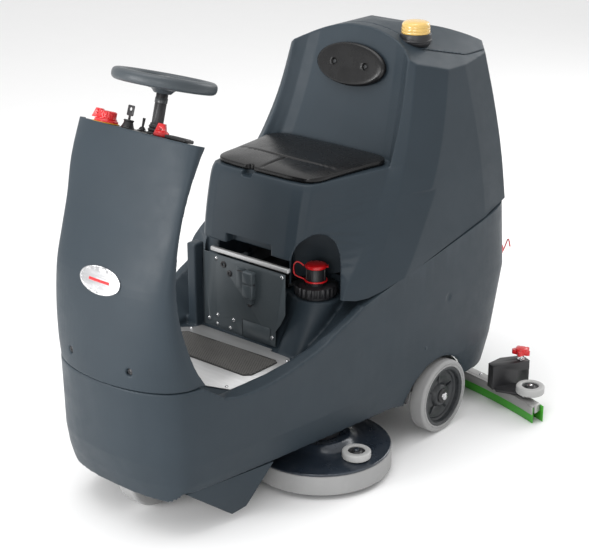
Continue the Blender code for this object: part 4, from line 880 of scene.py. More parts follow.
def build_rear_wheels():
    """Rear tyres and rims, with hub rings and nuts."""
    x, y, z = REAR_WHEEL
    for side, name in SIDES:
        centre = (side * x, y, z)
        out = (side, 0, 0)
        body = "wheel_" + name
        tyre = lathe(disc_profile(0.1028, 0.0228, 0.007, 0.0752), centre, out, 128)
        recess = ((0.070, 0.0165), (0.0850, 0.0165), (0.0850, 0.03), (0.070, 0.03))
        groove = ((0.0905, 0.0218), (0.0920, 0.0218), (0.0920, 0.03), (0.0905, 0.03))
        cut(tyre, lathe(recess, centre, out, 128), lathe(groove, centre, out, 128))
        piece(eased(tyre, 0.0006), "rear_tyre_skin_" + name, RUBBER, body, "grey_rubber",
              "rear_tyre_" + name)
        rim = lathe((
            (0.0106, -0.016), (0.024, -0.016), (0.024, -0.006), (0.066, -0.006), (0.066, -0.016),
            (0.0745, -0.016), (0.0745, 0.0170), (0.0842, 0.0170), (0.0842, 0.0212), (0.0825, 0.0222),
            (0.0775, 0.0222), (0.0755, 0.0205), (0.0735, 0.0080), (0.0690, 0.0040), (0.0640, 0.0055),
            (0.0600, 0.0030), (0.0440, 0.0), (0.0340, 0.0030), (0.0300, 0.0110), (0.0270, 0.0150),
            (0.0106, 0.0150)), centre, out, 96)
        ribs = []
        for k in range(5):
            rib = box((-0.0022, 0.031, -0.001), (0.0022, 0.0600, 0.0045))
            moved(rib, Matrix.Rotation(2 * math.pi * k / 5 + 0.3, 4, "Z"))
            ribs.append(moved(rib, frame_along(centre, out)))
        join(rim, *ribs)
        piece(eased(rim, 0.0009), "rear_rim_skin_" + name, RIM, body, "black_rim",
              "rear_rim_" + name)
        cap = lathe(((0.0112, 0.0155), (0.0205, 0.0155), (0.0190, 0.0205), (0.0112, 0.0215)),
                    centre, out, 48)
        piece(eased(cap, 0.0006), "rear_hub_ring_" + name, BLACK, body, "black_plastic")
        nut = lathe(((0.0, 0.0225), (0.0088, 0.0225), (0.0088, 0.0275), (0.0050, 0.0292),
                     (0.0, 0.0292)), centre, out, 6)
        bolt = lathe(((0.0, 0.024), (0.0105, 0.024), (0.0105, 0.0252), (0.0, 0.0252)), centre, out, 48)
        piece(eased(group(nut, bolt), 0.0004), "rear_hub_nut_" + name, STEEL, body, "steel")
    refined("rear_axle", STEEL)


def build_arch_liners():
    """Dark inner walls that close each rear wheel arch."""
    y, z = WHEEL_ARCH
    for side, name in SIDES:
        liner = cylinder((side * 0.2635, y, z), (side * 0.3020, y, z), 0.1355, 96)
        cut(liner, cylinder((side * 0.2665, y, z), (side * 0.33, y, z), 0.1296, 96))
        cut(liner, box((-0.4, 0.0, -0.10), (0.4, 0.5, 0.122)))
        piece(eased(liner, 0.0005), "arch_liner_" + name, BLACK, "chassis", "black_plastic")


def build_front_wheel():
    """The drive wheel with its fork and motor."""
    tyre = lathe(disc_profile(0.0998, 0.0278, 0.008, 0.0700), FRONT_WHEEL, (1, 0, 0), 128)
    hub = lathe(((0.0106, -0.020), (0.074, -0.020), (0.074, 0.020), (0.060, 0.020), (0.052, 0.006),
                 (0.022, 0.006), (0.022, 0.018), (0.0106, 0.018)), FRONT_WHEEL, (1, 0, 0), 96)
    piece(eased(join(tyre, hub)), "front_wheel_skin", RUBBER, "drive_wheel", "grey_rubber",
          "front_wheel")
    refined("front_fork", FRAME, 0.0012)
    refined("drive_motor", BLACK, 0.0020)


def build_steering():
    """A three-spoke wheel with a squarish rim, on a column with a boot."""
    centre = STEER_CENTRE
    minor = 0.0160
    rim_radius = STEER_RADIUS - minor
    profile = []
    for k in range(28):
        angle = 2 * math.pi * k / 28
        c, s = math.cos(angle), math.sin(angle)
        power = 2 / 2.5
        profile.append((rim_radius + minor * math.copysign(abs(c) ** power, c),
                        0.0148 * math.copysign(abs(s) ** power, s)))
    wheel = lathe(profile, centre, COLUMN_AXIS, 144)
    dome = [(0.0, -0.0300), (0.0200, -0.0300), (0.0260, -0.0230), (0.040, -0.0120), (0.043, 0.000),
            (0.038, 0.0060), (0.028, 0.0095), (0.014, 0.0110), (0.0, 0.0112)]
    join(wheel, lathe(dome, centre, COLUMN_AXIS, 64))
    across = Vector((1.0, 0.0, 0.0))
    ahead = COLUMN_AXIS.cross(across)
    for k in range(3):
        angle = math.pi / 2 + 2 * math.pi * k / 3
        out = across * math.cos(angle) + ahead * math.sin(angle)
        side = COLUMN_AXIS.cross(out)
        rings = []
        for t in np.linspace(0.0, 1.0, 9):
            middle = centre + out * (0.030 + t * (rim_radius - 0.032)) - COLUMN_AXIS * 0.012 * (1 - t)
            wide = 0.021 - 0.017 * t * (1 - t) * 1.6
            rings.append([middle + side * wide * math.cos(a) + COLUMN_AXIS * 0.0095 * math.sin(a)
                          for a in np.linspace(0, 2 * math.pi, 24, endpoint=False)])
        join(wheel, loft(rings))
    soften(wheel, 0.0016, 4, 120000)
    piece(wheel, "steering_wheel_skin", GRIP, "steering", "steering_plastic", "steering_wheel")
    column = lathe(((0.0, -0.225), (0.0140, -0.225), (0.0140, -0.0305), (0.0, -0.0305)), centre,
                   COLUMN_AXIS, 48)
    boot = [(0.0, -0.138), (0.0225, -0.138)]
    for k in range(4):
        boot += [(0.0225 - 0.001 * k, -0.132 + 0.008 * k), (0.0195 - 0.001 * k, -0.128 + 0.008 * k)]
    boot += [(0.0165, -0.100), (0.0, -0.100)]
    join(column, lathe(boot, centre, COLUMN_AXIS, 48))
    piece(eased(column, 0.0010), "steering_column_skin", BLACK, "steering", "black_plastic",
          "steering_column")
    ring = lathe(((0.0142, -0.052), (0.0150, -0.052), (0.0150, -0.040), (0.0142, -0.040)), centre,
                 COLUMN_AXIS, 48)
    piece(eased(ring, 0.0004), "steering_collar", RIM, "steering", "black_plastic")


def on_console(x, y, height=0.0):
    """The place above the console's plane at x, y, and the plane's normal."""
    normal = Vector((0.0, CONSOLE_SLOPE, 1.0)).normalized()
    return Vector((x, y, console_z(y))) + normal * height, normal


def console_piece(profile, x, y, segments=64):
    """A turned piece that stands on the console."""
    base, normal = on_console(x, y)
    return lathe(profile, base, normal, segments)


def console_block(low, high, x, y, height=0.0, turn=0.0):
    """A block that lies on the console."""
    base, normal = on_console(x, y, height)
    block = moved(box(low, high), Matrix.Rotation(turn, 4, "Z"))
    return moved(block, frame_along(base, normal))


def wing(x, y, width, low, high, offset):
    """The pierced, tapering grip of a rotary control, facing the front left corner."""
    half = width / 2
    outline = ((-half, low), (half, low), (0.52 * half, high), (-0.52 * half, high))
    grip = prism(outline, 1, -0.0062, 0.0062)
    middle = low + 0.48 * (high - low)
    cut(grip, cylinder((0.0, -0.03, middle), (0.0, 0.03, middle), 0.0027, 24))
    moved(grip, Matrix.Translation((*offset, 0.0)) @ Matrix.Rotation(math.radians(25), 4, "Z"))
    return moved(grip, frame_along(*on_console(x, y)))


def build_isolator():
    x, y = ISOLATOR
    ring = console_piece(((0.0125, 0.0030), (0.0330, 0.0030), (0.0330, 0.0042), (0.0125, 0.0050)), x, y)
    piece(eased(ring, 0.0004), "isolator_label_ring", YELLOW, "chassis", "red_plastic")
    base = console_piece(((0.0, 0.0046), (0.0290, 0.0046), (0.0284, 0.0090), (0.0262, 0.0112),
                          (0.0, 0.0112)), x, y)
    piece(eased(base, 0.0006), "isolator_base_skin", RED, "chassis", "red_plastic", "isolator_base")
    handle = console_piece(((0.0, 0.0116), (0.0250, 0.0116), (0.0250, 0.0140), (0.0225, 0.0155),
                            (0.0222, 0.0290), (0.0200, 0.0310), (0.0, 0.0315)), x, y, 96)
    for k in range(16):
        notch = moved(cylinder((0.0232, 0, 0.017), (0.0232, 0, 0.040), 0.0016, 16),
                      Matrix.Rotation(2 * math.pi * k / 16, 4, "Z"))
        cut(handle, moved(notch, frame_along(*on_console(x, y))))
    join(handle, wing(x, y, 0.0310, 0.0116, 0.0335, (-0.0215, -0.0060)))
    piece(eased(handle, 0.0007), "isolator_key_skin", RED, "isolator", "red_plastic",
          "isolator_key")


def build_ignition():
    x, y = IGNITION
    barrel = console_piece(((0.0, 0.0024), (0.0170, 0.0024), (0.0155, 0.0045), (0.0128, 0.0105),
                            (0.0108, 0.0170), (0.0125, 0.0190), (0.0125, 0.0215), (0.0, 0.0218)), x, y)
    piece(eased(barrel, 0.0006), "key_barrel", BLACK, "chassis", "black_plastic")
    base, normal = on_console(x, y, 0.0224)
    shaft = box((-0.0032, -0.0011, 0.0), (0.0032, 0.0011, 0.012))
    bow = rounded_plate(0.0105, 0.0125, 0.0030, 0.0022)
    cut(bow, moved(cylinder((0, -0.01, 0), (0, 0.01, 0), 0.0042, 24), Matrix.Translation((0, 0, 0.0035))))
    join(shaft, moved(bow, Matrix.Translation((0.0, 0.0, 0.0215))))
    moved(shaft, frame_along(base, normal))
    piece(eased(shaft, 0.0003), "ignition_key_skin", BLACK, "key", "black_plastic", "ignition_key")


def build_toggle():
    x, y = TOGGLE
    nut = console_piece(((0.0055, 0.0026), (0.0120, 0.0026), (0.0120, 0.0044), (0.0055, 0.0046)), x, y, 6)
    piece(eased(nut, 0.0003), "toggle_nut", RIM, "chassis", "black_plastic")
    base, normal = on_console(x, y, 0.0060)
    lever = cylinder(base + normal * 0.003, base + normal * 0.027, 0.0026, 32, 0.0036)
    join(lever, console_piece(((0.0, 0.0052), (0.0090, 0.0052), (0.0070, 0.0090), (0.0048, 0.0120),
                               (0.0, 0.0125)), x, y, 40))
    piece(eased(lever, 0.0006), "direction_toggle_skin", BLACK, "toggle", "black_plastic",
          "direction_toggle")


def build_speed_knob():
    x, y = SPEED_KNOB
    knob = console_piece(((0.0, 0.0028), (0.0185, 0.0028), (0.0182, 0.0090), (0.0165, 0.0130),
                          (0.0120, 0.0160), (0.0, 0.0168)), x, y)
    join(knob, wing(x, y, 0.0300, 0.0060, 0.0318, (0.0, -0.0035)))
    piece(eased(knob, 0.0010), "speed_knob_skin", RED, "speed", "red_plastic", "speed_knob")
    ticks = []
    for k in range(SCALE_TICKS):
        tick = box((-0.0006, 0.0205, 0.0021), (0.0006, 0.0245, 0.0026))
        moved(tick, Matrix.Rotation(math.radians(270 * k / (SCALE_TICKS - 1) - 135), 4, "Z"))
        ticks.append(moved(tick, frame_along(*on_console(x, y))))
    piece(group(*ticks), "speed_scale", ROLLER, "chassis", "white_nylon")


def build_display_and_pedal():
    refined("display_block", BLACK, 0.0006)
    glass = console_block((-0.027, -0.010, 0.0), (0.027, 0.010, 0.0008), 0.115, -0.501, 0.0109)
    piece(eased(glass, 0.0003), "display_window", RIM, "chassis", "black_plastic")
    refined("drive_pedal", BLACK, 0.0020)
    pivot = Matrix.Translation(PEDAL_PIVOT)
    tilt = pivot @ Matrix.Rotation(PEDAL_TILT, 4, "X") @ pivot.inverted()
    ribs = []
    for k in range(6):
        front = -0.430 + 0.012 * k
        ribs.append(moved(box((-0.138, front, 0.3568), (-0.072, front + 0.0055, 0.3582)), tilt))
    piece(eased(group(*ribs), 0.0004), "pedal_ribs", RIM, "pedal", "black_plastic")


def build_console():
    refined("console_panel", BLACK, 0.0010)
    build_isolator()
    build_ignition()
    build_toggle()
    build_speed_knob()
    build_display_and_pedal()


def rounded_plate(half_x, half_z, corner, thick):
    points = []
    for cx, cz, start in ((1, 1, 0), (-1, 1, 90), (-1, -1, 180), (1, -1, 270)):
        for k in range(6):
            angle = math.radians(start + 18 * k)
            points.append((cx * (half_x - corner) + corner * math.cos(angle),
                           cz * (half_z - corner) + corner * math.sin(angle)))
    return prism(points, 1, -thick / 2, thick / 2)


# ---- badge, platform and service panel ----
def plate_on_cowl(half_x, half_z, out):
    """An oval that follows the cowl's front and stands out from it."""
    levels = spline(COWL_LEVELS[2:7], 5)
    skin = loft([[(x, y - out, z) for x, y, z in cowl_ring(level, 0.0040)] for level in levels])
    return keep(prism(ellipse(half_x, half_z, BADGE[2], 96), 1, -0.690, -0.600), skin)


def build_badge():
    """A plain oval with a rim and a bar, and no lettering."""
    half_x, half_z, height = BADGE
    margin = 0.0030
    plate = plate_on_cowl(half_x - margin, half_z - margin, 0.0032)
    piece(eased(plate, 0.0007), "badge_face", SILVER, "chassis", "silver_badge", "badge_plate")
    rim = plate_on_cowl(half_x, half_z, 0.0036)
    cut(rim, prism(ellipse(half_x - 0.0042, half_z - 0.0042, height, 96), 1, -0.700, -0.600))
    piece(eased(rim, 0.0006), "badge_rim", STEEL, "chassis", "silver_badge")
    bar = plate_on_cowl(half_x - margin, half_z - margin, 0.0037)
    keep(bar, box((-0.034, -0.70, 0.6355), (0.034, -0.60, 0.6420)))
    piece(eased(bar, 0.0003), "badge_bar", RED, "chassis", "red_plastic")


MAT_PLAN = [(-0.146, -0.222), (0.150, -0.212), (0.164, -0.222), (0.165, -0.318), (0.150, -0.334),
            (-0.142, -0.337), (-0.158, -0.326), (-0.166, -0.240)]
MAT_PITCH = 0.0072
MAT_HOLE = 0.0020
MAT_MARGIN = 0.0042


def on_mat(x, y):
    """Whether a hexagon at x, y lies inside the mat's edge."""
    edge = [Vector(p) for p in MAT_PLAN]
    return all((b - a).cross(Vector((x, y)) - a) < -MAT_MARGIN * (b - a).length
               for a, b in zip(edge, edge[1:] + edge[:1]))


def mat_cell(bm, x, y, z):
    """One hexagon of the mat's face, with a hole through its middle."""
    reach = MAT_PITCH / math.sqrt(3)
    angles = [math.radians(60 * k + 30) for k in range(6)]
    outer = [bm.verts.new((x + reach * math.cos(a), y + reach * math.sin(a), z)) for a in angles]
    inner = [bm.verts.new((x + MAT_HOLE * math.cos(a), y + MAT_HOLE * math.sin(a), z)) for a in angles]
    deep = [bm.verts.new(v.co - Vector((0, 0, 0.0010))) for v in inner]
    bridged(bm, [outer, inner, deep])


def build_mat():
    """The foot mat: a base sheet with a perforated face."""
    low = PLATE_Z + GAP
    mat = prism(MAT_PLAN, 2, low, low + 0.0016)
    piece(eased(mat, 0.0005), "foot_mat_base", STUD, "chassis", "dark_mat", "foot_mat")
    bm = bmesh.new()
    for row in range(20):
        for column in range(50):
            x = -0.168 + MAT_PITCH * (column + 0.5 * (row % 2))
            y = -0.338 + MAT_PITCH * 0.866 * (row + 0.5)
            if on_mat(x, y):
                mat_cell(bm, x, y, low + 0.0022)
    bmesh.ops.remove_doubles(bm, verts=bm.verts, dist=2e-5)
    mesh = bpy.data.meshes.new("mesh")
    bm.to_mesh(mesh)
    bm.free()
    grid = bpy.data.objects.new("grid", mesh)
    bpy.context.scene.collection.objects.link(grid)
    piece(grid, "foot_mat_perforated", MAT, "chassis", "dark_mat")


def build_platform():
    """The foot plate, its screws and its mat."""
    outline = [(-0.187, -0.215), (-0.157, -0.184), (-0.155, -0.164), (0.096, -0.164),
               (0.099, -0.1750), (0.165, -0.1770), (0.187, -0.196), (0.180, -0.410),
               (0.120, -0.432), (0.060, -0.440), (-0.060, -0.440), (-0.120, -0.432), (-0.180, -0.410)]
    plate = prism(outline, 2, PLATE_Z - 0.003, PLATE_Z)
    piece(eased(plate, 0.0010, 3), "foot_plate_skin", LIGHT, "chassis", "light_metal", "foot_plate")
    build_mat()
    heads = [screw(x, y, PLATE_Z, (0, 0, 1), 0.0048)
             for x, y in ((-0.160, -0.198), (0.174, -0.196), (0.160, -0.405), (-0.160, -0.405))]
    piece(eased(group(*heads), 0.0), "plate_screws", STEEL, "chassis", "steel")


def build_panel():
    """The service panel below the seat and the fittings on it."""
    refined("access_panel", PANEL, 0.0006)
    y = PANEL_FACE_Y
    heads = [screw(x, y, z, (0, -1, 0), 0.0058)
             for x, z in ((-0.110, 0.523), (0.118, 0.526), (-0.139, 0.348), (0.084, 0.351),
                          (-0.108, 0.364), (-0.051, 0.364), (-0.110, 0.338), (-0.063, 0.338))]
    piece(eased(group(*heads), 0.0), "panel_screws", STEEL, "chassis", "steel")
    lock = lathe(((0.0, 0.0), (0.0088, 0.0), (0.0088, 0.0018), (0.0060, 0.0030), (0.0, 0.0030)),
                 (-0.062, y - 0.0002, 0.493), (0, -1, 0), 40)
    cut(lock, box((-0.0630, y - 0.01, 0.4885), (-0.0610, y - 0.0015, 0.4975)))
    grommet = lathe(((0.0040, 0.0), (0.0095, 0.0), (0.0085, 0.0030), (0.0040, 0.0030)),
                    (-0.083, y - 0.0002, 0.513), (0, -1, 0), 40)
    piece(eased(group(lock, grommet), 0.0004), "panel_lock", BLACK, "chassis", "black_plastic")
    refined("charger_socket", PANEL, 0.0012)
    face = y - 0.0200
    lid = rounded_plate(0.0140, 0.0140, 0.003, 0.0016)
    moved(lid, Matrix.Translation((0.0150, face - 0.0004, 0.5035)))
    lower = rounded_plate(0.0140, 0.0170, 0.003, 0.0016)
    moved(lower, Matrix.Translation((0.0150, face - 0.0004, 0.4670)))
    piece(eased(group(lid, lower), 0.0005), "socket_cover", PANEL, "chassis", "panel_paint")
    latch = box((-0.0330, y - 0.0040, 0.5090), (-0.0060, y - 0.0004, 0.5115))
    join(latch, box((-0.0100, y - 0.0060, 0.5040), (-0.0060, y - 0.0004, 0.5150)))
    pin = lathe(((0.0, 0.0), (0.0026, 0.0), (0.0026, 0.0030), (0.0, 0.0034)), (0.0325, y - 0.012, 0.4875),
                (1, 0, 0), 24)
    foot = cylinder((0.0145, y - 0.008, 0.4230), (0.0145, y - 0.008, 0.4330), 0.0055, 28)
    piece(eased(group(latch, pin, foot), 0.0004), "socket_latch", BLACK, "chassis", "black_plastic")
    flange = rounded_plate(0.0160, 0.0300, 0.003, 0.0012)
    moved(flange, Matrix.Translation((-0.0220, y - 0.0009, 0.4900)))
    piece(eased(flange, 0.0004), "socket_flange", PANEL, "chassis", "panel_paint")
    flap = box((-0.0165, y - 0.0026, 0.3300), (0.0780, y - 0.0002, 0.3760))
    piece(eased(flap, 0.0007), "panel_flap", PANEL, "chassis", "panel_paint")
    refined("cross_bar", LIGHT, 0.0008)


# ---- padded pieces ----
def build_seat():
    """The seat cushion: a crowned pad with crossed seams and a front dimple."""
    half = [(0.0, -0.0990), (0.060, -0.0983), (0.110, -0.0960), (0.150, -0.086), (0.166, -0.062),
            (0.174, 0.000), (0.190, 0.120), (0.196, 0.150), (0.193, 0.168), (0.180, 0.184),
            (0.150, 0.194), (0.075, 0.1965), (0.0, 0.197)]
    outline = spline(mirror_points(half), 8, closed=True)
    centre = np.array((0.0, 0.050))
    across = 26
    rim_z = 0.7785
    bm = bmesh.new()
    rings = []

    def height(x, y, s):
        crown = 0.0088 * (1 - s ** 5) - 0.0016 * (1 - s * s)
        fore_aft = 0.0042 * math.exp(-(x / 0.0034) ** 2) * (1 if y < 0.006 else 0)
        cross = 0.0030 * math.exp(-((y - 0.006) / 0.0036) ** 2)
        return rim_z + crown - (fore_aft + cross) * (1 - s ** 8)

    rows = [(1.0, 0.7660, -0.0030), (1.0, 0.7675, -0.0010), (1.0, 0.7700, 0.0), (1.0, 0.7755, 0.0)]
    for _, z, grow in rows:
        ring = []
        for p in outline:
            d = p - centre
            q = centre + d * (1 + grow / np.linalg.norm(d))
            ring.append(bm.verts.new((q[0], q[1], z)))
        rings.append(ring)
    shares = [1 - 0.0035 * k for k in range(1, 6)] + list(np.linspace(0.975, 0.02, across * 3))
    for s in shares:
        ring = []
        for p in outline:
            q = centre + (p - centre) * s
            ring.append(bm.verts.new((q[0], q[1], height(q[0], q[1], s))))
        rings.append(ring)
    bridged(bm, rings)
    bm.faces.new(rings[-1])
    bm.faces.new(list(reversed(rings[0])))
    seat = closed_object(bm)
    cut(seat, moved(lathe(((0.0, -0.03), (0.0135, -0.03), (0.0155, 0.03), (0.0, 0.03)), (0, 0, 0)),
                    Matrix.Translation((-0.035, -0.101, 0.778)) @ Matrix.Diagonal((1, 0.9, 1, 1))))
    soften(seat, 0.0015, 3, 150000)
    piece(seat, "seat_cushion", VINYL, "seat", "seat_vinyl", "seat_lid")


def build_backrest():
    """The oval backrest cushion with its two screws."""
    tilt = math.atan2(0.284 - 0.248, 0.120)
    place = Matrix.Translation((0.0, 0.2735, 0.980)) @ Matrix.Rotation(math.pi / 2 - tilt, 4, "X")
    rings = []
    for share, z in ((0.985, 0.0008), (1.0, 0.0030), (1.0, 0.0080), (0.985, 0.0110), (0.95, 0.0132),
                     (0.89, 0.0146), (0.80, 0.0150), (0.6, 0.0152), (0.3, 0.0153), (0.05, 0.0153)):
        rings.append([(0.114 * share * math.cos(a), 0.057 * share * math.sin(a), z)
                      for a in np.linspace(0, 2 * math.pi, 120, endpoint=False)])
    pad = loft(rings)
    for x in (-0.052, 0.052):
        dish = ((0.0, 0.0095), (0.0070, 0.0095), (0.0105, 0.0170), (0.0, 0.0170))
        cut(pad, lathe(dish, (x, 0, 0), segments=40))
    heads = [screw(x, 0.0, 0.0104, (0, 0, 1), 0.0052) for x in (-0.052, 0.052)]
    moved(pad, place)
    piece(eased(pad, 0.0008, 3), "backrest_cushion", VINYL, "upper_tank", "seat_vinyl", "backrest_pad")
    piece(eased(moved(group(*heads), place), 0.0), "backrest_screws", RIM, "upper_tank", "black_rim")


def build_beacon():
    """The beacon on the tank lid."""
    x, y = BEACON
    refined("beacon_base", BLACK, 0.0015)
    collar = [(0.0422, 1.0500), (0.0432, 1.0520), (0.0432, 1.0545), (0.0422, 1.0560), (0.0410, 1.0560),
              (0.0410, 1.0500)]
    piece(eased(lathe(collar, (x, y, 0)), 0.0003), "beacon_collar", BLACK, "lid", "black_plastic")
    lens = [(0.0, 1.0710), (0.0380, 1.0710), (0.0380, 1.0765), (0.0370, 1.0775), (0.0378, 1.0785),
            (0.0378, 1.0850), (0.0368, 1.0860), (0.0374, 1.0870), (0.0370, 1.0925), (0.0345, 1.0975),
            (0.0290, 1.1008), (0.0180, 1.1025), (0.0, 1.1030)]
    piece(eased(lathe(lens, (x, y, 0)), 0.0003), "beacon_lens_skin", AMBER, "lid", "amber_lens",
          "beacon_lens")


# ---- filler and drain ----
def build_filler():
    """The filler neck, knurled ring, cap and strap, and the rear drain cap."""
    x, y = FILLER
    profile = ((0.0205, 0.330), (0.040, 0.330), (0.040, 0.4560), (0.050, 0.4560), (0.050, 0.4640),
               (0.0262, 0.4860), (0.0245, 0.530), (0.0205, 0.530))
    neck = lathe(profile, (x, y, 0), segments=72)
    knurls = wavy_circle(x, y, 96, lambda k, _: 0.0560 if k % 4 in (0, 1) else 0.0530)
    ring = cut(prism(knurls, 2, 0.4625, 0.4860), cylinder((x, y, 0.45), (x, y, 0.50), 0.0270))
    eased(ring, 0.0012)
    ribs = []
    for k in range(8):
        rib = box((0.0225, -0.0012, 0.486), (0.0270, 0.0012, 0.5285))
        moved(rib, Matrix.Rotation(math.pi * k / 4 + 0.2, 4, "Z"))
        ribs.append(moved(rib, Matrix.Translation((x, y, 0.0))))
    piece(eased(group(neck, *ribs), 0.0006), "filler_neck_skin", BLACK, "chassis", "black_plastic",
          "filler_neck")
    piece(ring, "filler_ring", BLACK, "chassis", "black_plastic")
    cap = [(0.0, 0.5306), (0.0275, 0.5306), (0.0284, 0.5320), (0.0284, 0.5358), (0.0265, 0.5388),
           (0.0225, 0.5407), (0.0120, 0.5414), (0.0, 0.5415)]
    cap = lathe(cap, (x, y, 0))
    join(cap, cylinder((x, y, 0.516), (x, y, 0.535), 0.0190))
    tab_direction = Matrix.Rotation(math.radians(35), 4, "Z")
    tab = moved(box((0.022, -0.007, 0.5325), (0.0325, 0.007, 0.5355)), tab_direction)
    join(cap, moved(tab, Matrix.Translation((x, y, 0.0))))
    piece(eased(cap, 0.0010), "filler_cap_skin", RED, "filler_lid", "red_plastic", "filler_cap")
    angles = np.linspace(0, 2 * math.pi, 72, endpoint=False)
    strap = tube([(x + 0.0284 * math.cos(a), y + 0.0284 * math.sin(a), 0.4965) for a in angles], 0.0024, 14,
                 closed=True)
    left = Vector((-math.cos(math.radians(40)), -math.sin(math.radians(40)), 0.0))
    loop = [Vector((x, y, z)) + left * out for out, z in (
        (0.0285, 0.497), (0.040, 0.502), (0.054, 0.510), (0.0575, 0.524), (0.056, 0.538), (0.049, 0.545),
        (0.040, 0.542), (0.0310, 0.5345))]
    piece(eased(group(strap, tube(spline(loop, 7), 0.0019, 14)), 0.0), "filler_strap_skin", RED,
          "chassis", "red_plastic", "filler_strap")
    refined("rear_cap", RED, 0.0008)


# ---- deck, brushes and rollers ----
def roller(centre, radius, half, label, name, body, node_name):
    """A bumper roller: tread, hub and bolt."""
    tread = [(radius * 0.60, -half)] + disc_profile(radius, half, 0.0042, 0.0)[1:-1] + [(radius * 0.60, half)]
    piece(eased(lathe(tread, centre), 0.0008), label + "_tread_" + name, ROLLER, body, "white_nylon",
          node_name)
    hub = [(0.0066, -half + 0.001), (radius * 0.60, -half + 0.001), (radius * 0.60, half - 0.0035),
           (radius * 0.54, half - 0.0042), (radius * 0.40, half - 0.0048), (radius * 0.30, half - 0.0010),
           (0.0066, half - 0.0008)]
    piece(eased(lathe(hub, centre, segments=72), 0.0005), label + "_hub_" + name, BLACK, body,
          "black_plastic")
    top = centre[2] + half - 0.0004
    bolt = lathe(((0.0, 0.0), (0.0060, 0.0), (0.0056, 0.0018), (0.0036, 0.0028), (0.0, 0.0030)),
                 (centre[0], centre[1], top), segments=32)
    piece(eased(bolt, 0.0002), label + "_bolt_" + name, STEEL, body, "steel")


def build_deck_cover():
    """The pressed cover over both brushes."""
    x, y = BRUSH
    cover = box((-0.200, y - 0.120, 0.0690), (0.200, y + 0.120, 0.0735))
    join(cover, box((-0.150, y - 0.030, 0.0700), (0.150, y + 0.030, 0.0960)))
    for side in (-1, 1):
        dome = [(0.0, 0.066), (0.1862, 0.066), (0.1866, 0.0690), (0.1840, 0.0712), (0.1760, 0.0712),
                (0.1700, 0.0730), (0.150, 0.0752), (0.125, 0.0768), (0.104, 0.0800), (0.092, 0.0850),
                (0.084, 0.0935), (0.078, 0.0985), (0.0, 0.0985)]
        join(cover, lathe(dome, (side * x, y, 0.0), segments=144))
        pin = (side * DECK_ROLLER[0], DECK_ROLLER[1])
        join(cover, cylinder((*pin, 0.0700), (*pin, 0.1000), 0.0060))
        join(cover, cylinder((*pin, 0.0690), (*pin, 0.0760), 0.0150))
    for side in (-1, 1):
        inner = [(0.0, 0.050), (0.178, 0.050), (0.178, 0.0665), (0.074, 0.0690), (0.070, 0.0920),
                 (0.0, 0.0920)]
        cut(cover, lathe(inner, (side * x, y, 0.0)))
        cut(cover, cylinder((side * x, y, 0.06), (side * x, y, 0.12), 0.0250))
        low, high = sorted((side * 0.030, side * 0.042))
        join(cover, box((low, -0.125, 0.092), (high, -0.075, 0.135)))
    cut(cover, cylinder((-0.06, -0.100, 0.122), (0.06, -0.100, 0.122), 0.0065))
    piece(eased(cover, 0.0009), "deck_cover_skin", DECK, "deck", "deck_paint", "deck_cover")


def build_deck_skirt():
    """The rubber skirt round both brushes."""
    x, y = BRUSH
    skirt = None
    lip = [(0.150, 0.013), (0.1865, 0.013), (0.1880, 0.0150), (0.1880, 0.0600), (0.1865, 0.0640),
           (0.1840, 0.0655), (0.150, 0.0655)]
    for side in (-1, 1):
        ring = lathe(lip, (side * x, y, 0.0), segments=144)
        skirt = join(skirt, ring) if skirt else ring
    for side in (-1, 1):
        cut(skirt, cylinder((side * x, y, 0.0), (side * x, y, 0.08), 0.1795, 144))
    join(skirt, box((-0.016, y - 0.010, 0.030), (0.016, y + 0.010, 0.0655)))
    piece(eased(skirt, 0.0008), "deck_skirt_skin", RUBBER, "deck", "grey_rubber", "deck_skirt")


def tuft(bm, centre, angle, radius, foot_radius):
    """One tapered tuft from the brush back down to the floor."""
    out = Vector((math.cos(angle), math.sin(angle), 0))
    rings = []
    for reach, z, width in ((radius, 0.042, 0.0030), (foot_radius, 0.0004, 0.0044)):
        point = out * reach + Vector((0, 0, z))
        rings.append([bm.verts.new(point + Vector((math.cos(a), math.sin(a), 0)) * width + centre)
                      for a in np.linspace(0, 2 * math.pi, 6, endpoint=False)])
    bridged(bm, rings)
    bm.faces.new(rings[0])
    bm.faces.new(rings[1])


def build_brush(side, name):
    x, y = side * BRUSH[0], BRUSH[1]
    body = "brush_" + name[0]
    back = lathe(((0.0, 0.0555), (0.155, 0.0555), (0.157, 0.053), (0.157, 0.043), (0.155, 0.040),
                  (0.092, 0.040), (0.0, 0.044)), (x, y, 0), segments=96)
    join(back, cylinder((x, y, 0.050), (x, y, 0.0775), 0.020))
    piece(eased(back, 0.0008), "brush_back_" + name, BLACK, body, "bristle", "brush_" + name)
    bm = bmesh.new()
    for k in range(TUFT_ROWS):
        radius = 0.098 + 0.0108 * k
        number = int(2 * math.pi * radius / TUFT_PITCH)
        for n in range(number):
            angle = 2 * math.pi * (n + 0.5 * (k % 2)) / number
            lean = 1.0 + 0.055 * (k / 5)
            foot_radius = radius * lean + RANDOM.uniform(-0.0012, 0.0012)
            tuft(bm, Vector((x, y, 0)), angle, radius, foot_radius)
    piece(eased(closed_object(bm), 0.0), "brush_tufts_" + name, BRISTLE, body, "bristle")


def build_deck():
    build_deck_cover()
    build_deck_skirt()
    for side, name in SIDES:
        refined("brush_motor_" + name, BLACK, 0.0020)
        build_brush(side, name)
        centre = (side * DECK_ROLLER[0], *DECK_ROLLER[1:])
        roller(centre, 0.0375, 0.0100, "deck_roller", name, "deck_roll_" + name[0],
               "deck_roller_" + name)
    refined("deck_lift_arms", FRAME, 0.0010)


# ---- squeegee ----
def blade_curve(x):
    """Fore-and-aft place of the bowed squeegee at x."""
    return 0.588 - 0.098 * (abs(x) / SQUEEGEE_SPAN) ** 2


